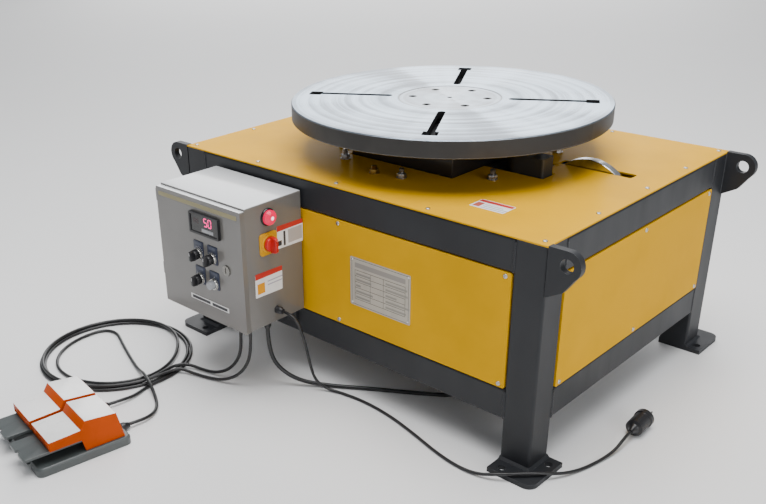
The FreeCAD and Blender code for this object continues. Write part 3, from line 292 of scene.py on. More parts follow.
@dataclass(frozen=True)
class PowderCoat(Finish):
    """Fine-textured powder coat of a switchgear box, paler where it faces up: dust with a painted
    sheen.
    """

    colour: Colour
    roughness: float = 0.5
    coat: float = 0.9
    # Share of pale grey on faces that look up: dust with a painted sheen of light from above.
    dust: float = 0.85

    def lay(self, r: Recipe) -> None:
        """Lay clouds, grain, pale edges, a pale top of dust and painted sheen, and a fine texture.

        Args:
            r: the material's recipe.
        """
        dull = tint(self.colour, 0.86)
        base = r.mix(r.noise(7.0, 5.0).between(0.4, 0.75), self.colour, dull)
        base = r.mix(r.noise(1400.0, 1.0).between(0.55, 0.7) * 0.25, base, dull)
        base = r.mix(r.edges(0.0012) * 0.6, base, tint(self.colour, 1.12))
        # Painted sheen with dust: faces that look up are mixed towards pale grey.
        level = r.parts(r.normal())[2].between(0.75, 0.95)
        r.set(Base_Color=r.mix(level * self.dust, base, (0.74, 0.76, 0.78)),
              Roughness=r.noise(18.0, 4.0) * 0.2 + (self.roughness - 0.1),
              Normal=r.relief(r.noise(900.0, 2.0), 0.12, 0.0004),
              Coat_Weight=self.coat, Coat_Roughness=0.16)


@dataclass(frozen=True)
class FacedSteel(Finish):
    """Steel faced in a lathe: rings about the vertical axis on top, a turned rim outside."""

    name: str = "faced_steel"
    # The bluish pale top colour is partly a painted reflection of daylight on the steel.
    top: Colour = (0.56, 0.68, 0.80)
    dark: Colour = (0.10, 0.13, 0.17)
    rim: Colour = (0.050, 0.048, 0.046)
    centre_radius: float = 0.120
    line_radii: Pair = (0.235, 0.305)

    def lay(self, r: Recipe) -> None:
        """Lay the facing's rings with a painted reflection sweep, the seat as a ring of painted
        shadow, scratches, the rim, a painted highlight on the edges and painted shade in the slots.

        Args:
            r: the material's recipe.
        """
        x, y, z = r.parts(r.place)
        radius = (x * x + y * y) ** 0.5
        fine = r.noise(1500.0, 3.0, along=radius)
        bands = r.noise(34.0, 3.0, along=radius)
        blotch = r.noise(6.0, 5.0)
        # The sweep changes with the direction from the axis: a painted reflection across the face,
        # mixed with the steel's own blotches.
        reflection_sweep = r.noise(1.7, 2.0, along=(x * 0.6 + y) * radius ** -1.0)
        tone = (bands.between(0.30, 0.70) * 0.16 + blotch * 0.34 + reflection_sweep * 0.50)
        base = r.mix(tone.between(0.34, 0.62), self.dark, self.top)
        base = r.mix(fine.between(0.35, 0.8) * 0.30, base, self.dark)
        centre = 1.0 - radius.between(self.centre_radius - 0.0012, self.centre_radius)
        base = r.mix(centre * 0.45, base, (0.42, 0.44, 0.47))
        groove, line = (abs(radius - at) < 0.0007 for at in self.line_radii)
        base = r.mix((groove + line) * 0.35, base, (0.12, 0.12, 0.13))
        # The seat is painted shadow: a near-black ring round the step of the centre recess.
        seat = abs(radius - self.centre_radius) < 0.0014
        base = r.mix(seat * 0.85, base, (0.05, 0.05, 0.055))
        scratches = r.noise(40.0, 6.0, (1.0, 7.0, 1.0)).between(0.62, 0.66)
        base = r.mix(scratches * 0.18, base, (0.75, 0.76, 0.78))
        side = 1.0 - r.parts(r.normal())[2].between(0.4, 0.7)
        turned = r.noise(2600.0, 2.0, along=z)
        rim = r.mix(turned * 0.5, self.rim, tint(self.rim, 1.6))
        rim = r.mix(r.noise(16.0, 5.0).between(0.5, 0.75) * 0.4, rim, (0.08, 0.075, 0.07))
        base = r.mix(side, base, rim)
        # Painted shade: below the face and inside the slots' circle, slots and recesses are painted
        # near black.
        inner = (1.0 - z.between(0.6205, 0.6222)) * (1.0 - radius.between(0.370, 0.3715))
        base = r.mix(inner, base, (0.018, 0.018, 0.02))
        # Painted highlight: the face's sharp edges outside the shaded slots are lightened.
        base = r.mix(r.edges(0.0022) * (1.0 - inner) * 0.8, base, (0.74, 0.74, 0.75))
        shine = (fine * 0.14 + blotch * 0.16 + 0.14) + side * 0.12 + inner * 0.3
        relief = fine * 0.6 + turned * side * 0.4
        r.set(Base_Color=base, Metallic=1.0 - inner * 0.8, Roughness=shine,
              Normal=r.relief(relief, 0.10, 0.0004), Anisotropic=0.55)


@dataclass(frozen=True)
class Metal(Finish):
    """Bare, plated or blackened metal."""

    colour: Colour
    roughness: float = 0.3
    stain: Colour = (0.12, 0.10, 0.08)
    dirt: float = 0.3
    grain: float = 300.0

    def lay(self, r: Recipe) -> None:
        """Lay a brushed grain, stains and bright edges.

        Args:
            r: the material's recipe.
        """
        brushed, patches = r.noise(self.grain, 3.0), r.noise(45.0, 4.0)
        base = r.mix(brushed.between(0.3, 0.7), tint(self.colour, 0.62), self.colour)
        base = r.mix(patches.between(0.52, 0.78) * self.dirt, base, self.stain)
        r.set(Base_Color=r.mix(r.edges(0.0008) * 0.5, base, tint(self.colour, 1.35)),
              Roughness=brushed * 0.18 + patches * 0.12 + (self.roughness - 0.12),
              Normal=r.relief(brushed, 0.10, 0.0004), Metallic=1.0)


@dataclass(frozen=True)
class Plastic(Finish):
    """Moulded plastic or sheathing."""

    colour: Colour
    roughness: float = 0.4
    grain: float = 0.08
    coat: float = 0.0
    glow: float = 0.0

    def lay(self, r: Recipe) -> None:
        """Lay dust, pale edges and a moulded grain.

        Args:
            r: the material's recipe.
        """
        dust = r.noise(30.0, 5.0).between(0.48, 0.75)
        base = r.mix(dust * 0.6, self.colour, tint(self.colour, 0.8, 0.02))
        base = r.mix(r.edges(0.0006) * 0.5, base, tint(self.colour, 1.3, 0.02))
        r.set(Base_Color=base, Roughness=r.noise(80.0, 4.0) * 0.2 + (self.roughness - 0.1),
              Normal=r.relief(r.noise(1800.0, 2.0), self.grain, 0.0003),
              Coat_Weight=self.coat)
        if self.glow:
            r.set(Emission_Color=base, Emission_Strength=self.glow)


@dataclass(frozen=True)
class LitLens(Finish):
    """A lamp's moulded lens with a bright middle."""

    name: str = "lit_lens"
    colour: Colour = (0.42, 0.0, 0.035)
    core: Colour = (1.0, 0.72, 0.84)
    centre: Pair = (-0.500, 0.438)
    radius: float = 0.017
    strength: float = 2.0

    def lay(self, r: Recipe) -> None:
        """Lay the bright middle and the lens's ribs.

        Args:
            r: the material's recipe.
        """
        _, y, z = r.parts(r.place)
        dy, dz = y - self.centre[0], z - self.centre[1]
        away = (dy * dy + dz * dz) ** 0.5
        core = 1.0 - away.between(0.10 * self.radius, 0.34 * self.radius)
        ribs = r.noise(900.0, 1.0, along=away)
        lit = r.mix(core, self.colour, self.core)
        lit = r.mix(ribs.between(0.5, 0.8) * 0.35, lit, tint(self.colour, 0.6))
        r.set(Base_Color=lit, Roughness=0.14, Emission_Color=lit,
              Emission_Strength=self.strength, Normal=r.relief(ribs, 0.2, 0.0006))


@dataclass(frozen=True)
class RuledSheet(Finish):
    """A printed sheet with plain ruled lines and blocks, and no words.

    A span is a sheet's axis with its two ends. Each block is (u0, u1, v0, v1, colour) and each
    ruling (v0, v1, u0, u1, pitch, colour), as shares of the sheet, with u right and v up.
    """

    ground: Colour
    u_span: tuple[int, float, float]
    v_span: tuple[int, float, float]
    blocks: Sequence[tuple] = ()
    rulings: Sequence[tuple] = ()
    metallic: float = 0.0
    roughness: float = 0.4

    def lay(self, r: Recipe) -> None:
        """Lay the ground, the blocks, the ragged rulings and creases.

        Args:
            r: the material's recipe.
        """
        axes = r.parts(r.place)
        u, v = ((axes[axis] - low) * (1 / (high - low))
                for axis, low, high in (self.u_span, self.v_span))
        base = r.mix(r.noise(40.0, 4.0).between(0.45, 0.75) * 0.3, self.ground,
                     tint(self.ground, 0.72))
        for u0, u1, v0, v1, colour in self.blocks:
            base = r.mix((u > u0) * (u < u1) * (v > v0) * (v < v1), base, colour)
        for v0, v1, u0, u1, pitch, colour in self.rulings:
            row = (v - v0) * (1 / pitch)
            ragged = r.noise(7.3, 0.0, along=row.maths("FLOOR", row))
            inside = (u > u0) * (u < ragged * 0.35 + (u1 - 0.2))
            inside = inside * (v > v0) * (v < v1) * (row.maths("FRACT", row) < 0.36)
            base = r.mix(inside * 0.8, base, colour)
        creases = r.noise(60.0, 4.0, (1.0, 1.0, 2.2))
        r.set(Base_Color=base, Metallic=self.metallic, Roughness=creases * 0.2 + self.roughness,
              Normal=r.relief(creases, 0.15, 0.0006))


RED, AMBER = (0.50, 0.022, 0.016), (0.72, 0.30, 0.0)
INK, PAPER = (0.03, 0.03, 0.035), (0.80, 0.80, 0.79)
FINISHES = (
    Paint("frame_paint", (0.020, 0.0215, 0.025), roughness=0.50, coat=0.0, peel=0.10,
          light=2.1, specular=0.35),
    Paint("cover_paint", (0.72, 0.375, 0.0), (0.5, 0.32, 0.03), roughness=0.34, coat=0.0,
          grime=0.05, wear=0.15, light=1.12, specular=0.012),
    Paint("turret_paint", (0.016, 0.016, 0.018), roughness=0.38, grime=0.2),
    Paint("reducer_paint", (0.028, 0.032, 0.036), roughness=0.45, peel=0.2, grime=0.2),
    Paint("motor_paint", (0.07, 0.10, 0.13), roughness=0.4, peel=0.12),
    Paint("pedal_paint", (0.062, 0.072, 0.072), roughness=0.42, peel=0.25, light=1.8, wear=0.5),
    Paint("guard_paint", (0.50, 0.062, 0.0), roughness=0.34, coat=0.0, peel=0.03,
          specular=0.08),
    Paint("roof_paint", (0.93, 0.92, 0.91), (0.7, 0.3, 0.15), roughness=0.3, coat=0.5,
          peel=0.02, light=1.1),
    PowderCoat("box_coat", (0.150, 0.142, 0.131)),
    FacedSteel(),
    LitLens(),
    Metal("cut_gear_steel", (0.30, 0.30, 0.31), 0.34, dirt=0.55),
    Metal("zinc_plate", (0.66, 0.66, 0.67), 0.26, dirt=0.2),
    Metal("black_bolt", (0.022, 0.022, 0.024), 0.42, dirt=0.2),
    Metal("polished_rim", (0.74, 0.75, 0.76), 0.2, dirt=0.04, grain=40.0),
    Metal("lock_nickel", (0.30, 0.29, 0.27), 0.3, dirt=0.3),
    Metal("galvanised", (0.55, 0.56, 0.57), 0.38, (0.35, 0.36, 0.38), 0.5, grain=60.0),
    Metal("nickel", (0.60, 0.59, 0.56), 0.22, dirt=0.15),
    Metal("brass", (0.62, 0.42, 0.12), 0.3),
    Plastic("black_plastic", (0.012, 0.012, 0.014), 0.35),
    Plastic("grey_plastic", (0.20, 0.20, 0.21), 0.4),
    Plastic("clear_grey_plastic", (0.30, 0.31, 0.33), 0.2, coat=0.5),
    Plastic("black_gloss", (0.010, 0.009, 0.009), 0.24, 0.01, 0.15),
    Plastic("switch_red", (0.55, 0.006, 0.004), 0.30, 0.02, 0.15),
    Plastic("switch_yellow", (0.66, 0.32, 0.0), 0.36, 0.04),
    Plastic("legend_blue", (0.014, 0.022, 0.055), 0.42, 0.04),
    Plastic("legend_grey", (0.055, 0.068, 0.11), 0.45),
    Plastic("pale_yellow_band", (0.27, 0.235, 0.105), 0.35, 0.05, 0.2),
    Plastic("white_mark", (0.85, 0.85, 0.84), 0.5),
    Plastic("lit_digit", (1.0, 0.010, 0.22), 0.4, 0.0, 0.0, 2.4),
    Plastic("dim_digit", (0.05, 0.008, 0.012), 0.3),
    Plastic("cord_sheath", (0.010, 0.010, 0.011), 0.34, 0.14),
    Plastic("gasket_rubber", (0.014, 0.014, 0.014), 0.75, 0.2),
)


# ---------------------------------------------------------------------- modelling
def take(obj: bpy.types.Object | None) -> None:
    """Leave edit mode, and select one object alone or nothing.

    Args:
        obj: the object, which becomes the active one.
    """
    active = bpy.context.view_layer.objects.active
    if active is not None and active.mode != "OBJECT":
        bpy.ops.object.mode_set(mode="OBJECT")
    bpy.ops.object.select_all(action="DESELECT")
    if obj is not None:
        obj.select_set(True)
        bpy.context.view_layer.objects.active = obj


def add_object(name: str, data: bpy.types.ID) -> bpy.types.Object:
    """Put an object with that data in the scene.

    Args:
        name: its name.
        data: its mesh, curve, light or camera.

    Returns:
        The object.
    """
    made = bpy.data.objects.new(name, data)
    bpy.context.scene.collection.objects.link(made)
    return made


def across(axis: Vector) -> Vector:
    """A unit vector square to an axis, level where it can be."""
    side = UP.cross(axis)
    return side.normalized() if side.length > 0.1 else ALONG_X.copy()


def spot(point: Sequence[float], axis: Vector = UP) -> Matrix:
    """The matrix that carries a model standing at the origin along +Z to a place and axis."""
    return Matrix.Translation(Vector(point)) @ axis.to_track_quat("Z", "Y").to_matrix().to_4x4()


def turn_about(degrees: float, axis: str, centre: Sequence[float]) -> Matrix:
    """The matrix of a turn about an axis, for a model standing at the origin, put at a centre."""
    return Matrix.Translation(centre) @ Matrix.Rotation(math.radians(degrees), 4, axis)


def dress(finish: str, *nodes: str) -> None:
    """Give CAD nodes a finish.

    Args:
        finish: its name.
        nodes: the nodes' names.
    """
    for name in nodes:
        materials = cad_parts[name].data.materials
        materials.clear()
        materials.append(MADE[finish])


class Stock:
    """A piece of stock, begun as a primitive and shaped in edit mode."""

    def __init__(self, name: str) -> None:
        """Take over the primitive just added, and bake its place into its mesh."""
        self.obj = bpy.context.object
        self.obj.name = self.obj.data.name = name
        bpy.ops.object.transform_apply(location=True, rotation=True, scale=True)

    @classmethod
    def from_node(cls, node: str, name: str) -> "Stock":
        """A copy of a CAD node, its loose triangles merged into flat faces.

        Args:
            node: the node's name.
            name: the piece's name.

        Returns:
            The copy.
        """
        take(add_object(name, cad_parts[node].data.copy()))
        bpy.ops.object.mode_set(mode="EDIT")
        bpy.ops.mesh.select_all(action="SELECT")
        bpy.ops.mesh.remove_doubles(threshold=MERGE)
        bpy.ops.mesh.dissolve_limited(angle_limit=math.radians(1))
        bpy.ops.object.mode_set(mode="OBJECT")
        return cls(name)

    @classmethod
    def block(cls, name: str, low: Sequence[float], high: Sequence[float]) -> "Stock":
        """A rectangular block.

        Args:
            name: the piece's name.
            low: its lowest corner, in metres.
            high: its highest corner.

        Returns:
            The block.
        """
        take(None)
        middle = [(a + b) / 2 for a, b in zip(low, high)]
        bpy.ops.mesh.primitive_cube_add(size=1, location=middle)
        bpy.context.object.scale = [b - a for a, b in zip(low, high)]
        return cls(name)

    @classmethod
    def tablet(cls, name: str, low: Sequence[float], high: Sequence[float], corner: float,
               steps: int = 3) -> "Stock":
        """A flat block with rounded corners.

        Args:
            name: the piece's name.
            low: its lowest corner, in metres.
            high: its highest corner.
            corner: the corners' radius.
            steps: facets to a corner.

        Returns:
            The tablet.
        """
        thin = min(range(3), key=lambda i: high[i] - low[i])
        piece = cls.block(name, low, high)
        return piece.edges(lambda c, d: abs(d[thin]) > FACING).bevel(corner, steps)

    @classmethod
    def rod(cls, name: str, foot: Vector, axis: Vector, radius: float, length: float,
            sides: int, tip: float | None = None) -> "Stock":
        """A many-sided bar or a cone.

        Args:
            name: the piece's name.
            foot: the middle of its first end.
            axis: its direction.
            radius: its radius at the foot.
            length: its length.
            sides: its number of sides.
            tip: its radius at the far end, if not the same.

        Returns:
            The bar.
        """
        take(None)
        turn = axis.normalized().to_track_quat("Z", "Y").to_euler()
        bpy.ops.mesh.primitive_cone_add(
            vertices=sides, radius1=radius, radius2=radius if tip is None else tip,
            depth=length, location=foot + axis.normalized() * (length / 2), rotation=turn)
        return cls(name)

    @classmethod
    def lathe(cls, name: str, foot: Vector, axis: Vector, profile: Sequence[Pair],
              steps: int = 48) -> "Stock":
        """A turned piece: a profile extruded point by point and spun round an axis.

        Args:
            name: the piece's name.
            foot: where heights along the axis are measured from.
            axis: the axis of the turning.
            profile: (radius, height) pairs in order.
            steps: facets round the piece.

        Returns:
            The turned piece.
        """
        axis = axis.normalized()
        out = across(axis)
        take(None)
        bpy.ops.mesh.primitive_plane_add(size=0.001, location=foot)
        piece = cls(name)
        points = [foot + out * r + axis * h for r, h in profile]
        with piece.editing("VERT") as mesh:
            for vert in list(mesh.verts)[1:]:
                mesh.verts.remove(vert)
            mesh.verts.ensure_lookup_table()
            mesh.verts[0].co = points[0]
            mesh.verts[0].select = True
        for here, after in zip(points, points[1:]):
            bpy.ops.mesh.extrude_region_move(TRANSFORM_OT_translate={"value": after - here})
        bpy.ops.mesh.select_all(action="SELECT")
        bpy.ops.mesh.spin(steps=steps, angle=2 * math.pi, center=foot, axis=axis)
        bpy.ops.mesh.select_all(action="SELECT")
        bpy.ops.mesh.remove_doubles(threshold=MERGE)
        bpy.ops.mesh.normals_make_consistent(inside=False)
        take(None)
        return piece

    @contextmanager
    def editing(self, mode: str) -> Iterator[bmesh.types.BMesh]:
        """Edit mode with nothing selected; at the end the mesh is written back.

        Args:
            mode: FACE, EDGE or VERT.

        Yields:
            The mesh.
        """
        take(self.obj)
        bpy.ops.object.mode_set(mode="EDIT")
        bpy.ops.mesh.select_mode(type=mode)
        bpy.ops.mesh.select_all(action="DESELECT")
        mesh = bmesh.from_edit_mesh(self.obj.data)
        yield mesh
        mesh.select_flush_mode()
        bmesh.update_edit_mesh(self.obj.data)

    def face(self, way: Vector) -> "Stock":
        """Pick the faces that look one way.

        Args:
            way: the direction.

        Returns:
            This piece, in edit mode.
        """
        with self.editing("FACE") as mesh:
            for face in mesh.faces:
                face.select_set(face.normal.dot(way) > FACING)
        return self

    def edges(self, test: Callable[[Vector, Vector], bool]) -> "Stock":
        """Pick edges.

        Args:
            test: says by an edge's middle and direction whether it is taken.

        Returns:
            This piece, in edit mode.
        """
        with self.editing("EDGE") as mesh:
            for edge in mesh.edges:
                a, b = (v.co for v in edge.verts)
                edge.select_set(test((a + b) / 2, (b - a).normalized()))
        return self

    def inset(self, width: float, depth: float = 0.0) -> "Stock":
        """Inset the picked faces, and sink or raise them by depth."""
        bpy.ops.mesh.inset(thickness=width, depth=depth)
        return self

    def move(self, by: Vector) -> "Stock":
        """Move what is picked."""
        bpy.ops.transform.translate(value=by)
        return self

    def scale(self, factors: Point, about: Sequence[float]) -> "Stock":
        """Scale what is picked about a point."""
        bpy.ops.transform.resize(value=factors, center_override=about)
        return self

    def bevel(self, width: float, segments: int) -> "Stock":
        """Bevel the picked edges."""
        bpy.ops.mesh.bevel(offset=width, offset_type="OFFSET", segments=segments,
                           profile=0.5, affect="EDGES", clamp_overlap=True)
        return self

    def apply(self, kind: str, **settings: object) -> "Stock":
        """Add a modifier and apply it.

        Args:
            kind: the modifier's type.
            settings: its properties.

        Returns:
            This piece.
        """
        take(self.obj)
        modifier = self.obj.modifiers.new(kind.lower(), kind)
        for key, value in settings.items():
            setattr(modifier, key, value)
        bpy.ops.object.modifier_apply(modifier=modifier.name)
        return self

    def soften(self, width: float, segments: int = 2, angle: float = 35.0) -> "Stock":
        """Round every edge sharper than an angle, and shade smooth."""
        self.apply("BEVEL", width=width, segments=segments, limit_method="ANGLE",
                   angle_limit=math.radians(angle), harden_normals=False)
        return self.smooth()

    def smooth(self, degrees: float = 38.0) -> "Stock":
        """Shade smooth up to an angle."""
        take(self.obj)
        bpy.ops.object.shade_smooth_by_angle(angle=math.radians(degrees))
        return self

    def cut(self, tool: "Stock") -> "Stock":
        """Cut another piece out of this one, and remove the other."""
        self.apply("BOOLEAN", operation="DIFFERENCE", object=tool.obj, solver="EXACT")
        bpy.data.objects.remove(tool.obj)
        return self

    def join(self, *others: "Stock") -> "Stock":
        """Join other pieces into this one.

        Args:
            others: the other pieces, which are used up.

        Returns:
            This piece.
        """
        take(self.obj)
        for other in others:
            other.obj.select_set(True)
        if others:
            bpy.ops.object.join()
        return self

    def copy(self, turn: Matrix) -> "Stock":
        """A copy with its own mesh, moved by a matrix.

        Args:
            turn: the matrix.

        Returns:
            The copy.
        """
        take(self.obj)
        bpy.ops.object.duplicate(linked=False)
        twin = Stock(self.obj.name + "_copy")
        twin.obj.data.transform(turn)
        return twin

    def repeat(self, turns: Sequence[Matrix]) -> "Stock":
        """Copies of this piece at each matrix, joined; the model itself is used up."""
        first, *others = [self.copy(turn) for turn in turns]
        bpy.data.objects.remove(self.obj)
        return first.join(*others)

    def paint(self, *finishes: str) -> "Stock":
        """Give the piece its finishes, the first on every face."""
        self.obj.data.materials.clear()
        for name in finishes:
            self.obj.data.materials.append(MADE[name])
        return self

    def paint_faces(self, test: Callable[[Vector, Vector], bool]) -> "Stock":
        """Give the faces that a test takes, by centre and normal, the second finish."""
        for polygon in self.obj.data.polygons:
            if test(polygon.center, polygon.normal):
                polygon.material_index = 1
        return self

    def ride(self, body: Body, slot: str, name: str | None = None,
             replaces: Sequence[str] = ()) -> bpy.types.Object:
        """Fix the finished piece to a body.

        Args:
            body: the body it moves with.
            slot: the record's material slot; not used.
            name: its final name.
            replaces: the CAD nodes that it stands for.

        Returns:
            The finished object.
        """
        take(None)
        if name:
            self.obj.name = self.obj.data.name = name
        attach(self.obj, body.value)
        if replaces:
            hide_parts(*replaces)
        LOG.info("%s: %d faces on %s", self.obj.name, len(self.obj.data.polygons), body.value)
        return self.obj


# ---------------------------------------------------------------------- studio
@dataclass
class Studio:
    """Camera, floor and soft lights."""

    camera_at: Point = (1.3124, -1.7692, 1.1344)
    camera_turn: Point = (64.0242, 1.6195, 44.5988)
    lens: float = 43.37
    sensor: float = 36.0
    shift: Pair = (0.0908, 0.0759)
    floor_size: float = 60.0
    sky: Point = (0.93, 0.96, 1.0)
    sky_strength: float = 0.36
    # Each light is its name, place, the height it faces, its side in metres and its watts.
    lights: tuple = (("window", (-4.9, 5.6, 3.7), 0.5, 7.0, 480.0),
                     ("overhead", (0.2, -0.3, 3.8), 0.3, 3.2, 225.0),
                     ("right_fill", (4.4, -1.3, 1.6), 0.3, 2.4, 70.0),
                     ("left_fill", (-3.2, -2.4, 1.9), 0.3, 2.0, 5.0))

    def build(self) -> None:
        """Set the camera, the floor and the lights."""
        camera = bpy.data.cameras.new("camera")
        camera.lens, camera.sensor_width = self.lens, self.sensor
        camera.shift_x, camera.shift_y = self.shift
        camera.clip_end = self.floor_size
        seen = add_object("camera", camera)
        seen.location = self.camera_at
        seen.rotation_euler = [math.radians(a) for a in self.camera_turn]
        bpy.context.scene.camera = seen
        take(None)
        bpy.ops.mesh.primitive_plane_add(size=self.floor_size, location=(0, 0, 0))
        floor = bpy.context.object
        floor.name = "floor"
        plain = Recipe("plain_floor")
        plain.set(Base_Color=plain.mix(plain.noise(2.0, 3.0), (0.82, 0.82, 0.82),
                                       (0.80, 0.80, 0.80)), Roughness=0.7)
        floor.data.materials.append(plain.material)
        world = bpy.data.worlds.new("studio")
        world.use_nodes = True
        colour, strength = world.node_tree.nodes["Background"].inputs[:2]
        colour.default_value, strength.default_value = (*self.sky, 1), self.sky_strength
        bpy.context.scene.world = world
        for name, at, height, side, watts in self.lights:
            lamp = bpy.data.lights.new(name, "AREA")
            lamp.size, lamp.energy = side, watts
            holder = add_object(name, lamp)
            holder.location = at
            way = Vector((0, 0, height)) - Vector(at)
            holder.rotation_euler = way.to_track_quat("-Z", "Y").to_euler()


# ---------------------------------------------------------------------- cords
def millimetres(points: Sequence[Point]) -> list[Vector]:
    """Points given in millimetres, in metres."""
    return [Vector(p) / 1000 for p in points]


def smooth_step(value: float, low: float, high: float) -> float:
    """0 below low, 1 above high, smooth between."""
    t = min(1.0, max(0.0, (value - low) / (high - low)))
    return t * t * (3 - 2 * t)


@dataclass
class Cords:
    """The pedal cords with their coil, the motor cable, and the supply lead with its plug."""

    pedal_width: float = 0.008
    motor_width: float = 0.010
    supply_width: float = 0.007
    coil_centre: Point = (-0.540, -0.660, 0.0)
    coil_radius: float = 0.176
    points_to_a_turn: int = 16
    left_to_coil: tuple[Point, ...] = (
        (-339.5, -827.0, 11.0), (-332, -791.5, 10.5), (-331, -757, 7), (-339, -728, 4.6))
    left_from_coil: tuple[Point, ...] = (
        (-345, -576, 13), (-306, -563, 5.5), (-263, -553, 9), (-223, -541, 32),
        (-197, -532, 72), (-190, -530, 118), (-190, -530, 158))
    right_to_coil: tuple[Point, ...] = (
        (-232.8, -839.3, 11.0), (-225.2, -808.6, 10.5), (-231, -772, 7), (-255, -742, 4.6),
        (-289, -722, 6), (-320, -709, 15), (-348, -699, 20), (-384, -686, 20),
        (-410, -676, 9), (-450, -664, 4.6), (-520, -638, 4.6), (-590, -610, 4.6),
        (-642, -588, 4.6))
    right_from_coil: tuple[Point, ...] = (
        (-344, -604, 13.5), (-312, -592, 7), (-272, -580, 4.6), (-228, -567, 8),
        (-186, -552, 30), (-158, -540, 70), (-150, -535, 118), (-150, -535, 158))
    motor_route: tuple[Point, ...] = (
        (-128, -500, 158), (-128, -500, 110), (-118, -488, 56), (-82, -454, 16),
        (-22, -410, 5.4), (62, -354, 5.4), (152, -300, 5.4), (236, -250, 9), (298, -208, 32),
        (336, -178, 82), (347, -164, 145), (345, -168, 205), (342, -167, 260),
        (342, -167, 305))
    supply_route: tuple[Point, ...] = (
        (-89, -484, 208), (-65, -484, 208), (-44, -481, 192), (-36, -473, 152),
        (-38, -460, 106), (-41, -448, 62), (-34, -440, 26), (-10, -424, 6), (24, -412, 3.8),
        (88, -405, 3.8), (172, -412, 3.8), (262, -434, 3.8), (344, -458, 3.8),
        (408, -467, 3.8), (450, -463, 7), (480, -451, 15), (512, -427, 19), (548, -391, 19),
        (574, -352, 9), (592, -305, 3.8), (604, -252, 3.8), (612, -205, 9.5),
        (611, -166, 21), (609.5, -140, 21))

    def build(self) -> None:
        """Make the four cords and the plug."""
        left = self.coiled(self.left_from_coil, 738.0, -12.0, self.left_lane, self.left_to_coil)
        right = self.coiled(self.right_from_coil, 730.0, 158.0, self.right_lane,
                            self.right_to_coil)
        for piece, width, far, stiff, lay, mates, nodes in (
                (self.spline("pedal_lead_left", left, self.pedal_width), self.pedal_width,
                 "object", "medium", "coiled", (), ("pedal_cord_left", "pedal_cord_coil")),
                (self.spline("pedal_lead_right", right, self.pedal_width), self.pedal_width,
                 "object", "medium", "coiled", (), ("pedal_cord_right",)),
                (self.spline("motor_lead", millimetres(self.motor_route), self.motor_width),
                 self.motor_width, "object", "stiff", "loose", (), ("motor_cable",)),
                (self.spline("mains_lead", millimetres(self.supply_route), self.supply_width),
                 self.supply_width, "plug", "medium", "loose", (self.plug(),),
                 ("supply_lead",))):
            piece.data.materials.append(MADE["cord_sheath"])
            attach(piece, Body.MACHINE.value)
            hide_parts(*nodes)
            start, length = piece.data.splines[0].points[0].co, self.length(piece)
            LOG.info("%s: %.3f m", piece.name, length)

    def left_lane(self, turn: float) -> Pair:
        """The left cord's offset from the coil's mean radius, and its height, in metres."""
        offset = 0.020 - 0.0095 * (turn + 12) / 360
        return offset, 0.0044 + 0.0098 * smooth_step(turn, 690, 730)

    def right_lane(self, turn: float) -> Pair:
        """The right cord's place: first inside the left cord's turns, then on top of them.

        Args:
            turn: degrees wound since the first crossing of the coil's right side.

        Returns:
            Its offset from the coil's mean radius and its height, in metres.
        """
        rise = smooth_step(turn, 372, 405)
        shift = smooth_step(turn, 395, 480)
        inner = -0.021 - 0.006 * smooth_step(turn, 150, 200) * (1 - smooth_step(turn, 250, 330))
        upper = 0.0152 - 0.0095 * (turn - 348) / 360
        upper += 0.004 * smooth_step(turn, 700, 730)
        return inner * (1 - shift) + upper * shift, 0.0044 + 0.0080 * rise

    def coiled(self, above: Sequence[Point], start: float, end: float,
               lane: Callable[[float], Pair], below: Sequence[Point]) -> list[Vector]:
        """Points of a cord from the box, round the coil and on to a pedal.

        Args:
            above: the run from the coil up to the box, in millimetres.
            start: degrees at the box end of the turns.
            end: degrees at their pedal end.
            lane: the cord's place in the bundle.
            below: the run from the pedal to the coil.

        Returns:
            The points.
        """
        count = round(abs(end - start) / 360 * self.points_to_a_turn)
        centre, points = Vector(self.coil_centre), millimetres(above)[::-1]
        for i in range(count + 1):
            turn = start + (end - start) * i / count
            angle = math.radians(turn)
            offset, height = lane(turn)
            wander = 0.003 * math.sin(2 * angle + 0.6) + 0.002 * math.sin(3 * angle + 1)
            r = self.coil_radius + offset + wander
            points.append(centre + Vector((r * math.cos(angle), r * math.sin(angle), height)))
        return points + millimetres(below)[::-1]

    @staticmethod
    def spline(name: str, points: Sequence[Vector], width: float) -> bpy.types.Object:
        """A smooth cord through control points.

        Args:
            name: the piece's name.
            points: the route's points.
            width: the cord's diameter.

        Returns:
            The curve object.
        """
        curve = bpy.data.curves.new(name, "CURVE")
        curve.dimensions = "3D"
        spline = curve.splines.new("NURBS")
        spline.points.add(len(points) - 1)
        for control, point in zip(spline.points, points):
            control.co = (*point, 1.0)
        spline.order_u = 3
        spline.use_endpoint_u = True
        curve.resolution_u = 6
        curve.bevel_depth = width / 2
        curve.bevel_resolution = 4
        curve.use_fill_caps = True
        return add_object(name, curve)

    @staticmethod
    def length(piece: bpy.types.Object) -> float:
        """Length of a cord's centreline, in metres.

        Args:
            piece: the cord.

        Returns:
            The length.
        """
        bare = bpy.data.objects.new("bare", piece.data.copy())
        bare.data.bevel_depth = 0.0
        mesh = bpy.data.meshes.new_from_object(bare)
        points = [v.co.copy() for v in mesh.vertices]
        bpy.data.meshes.remove(mesh)
        bpy.data.curves.remove(bare.data)
        return round(sum((b - a).length for a, b in zip(points, points[1:])), 4)

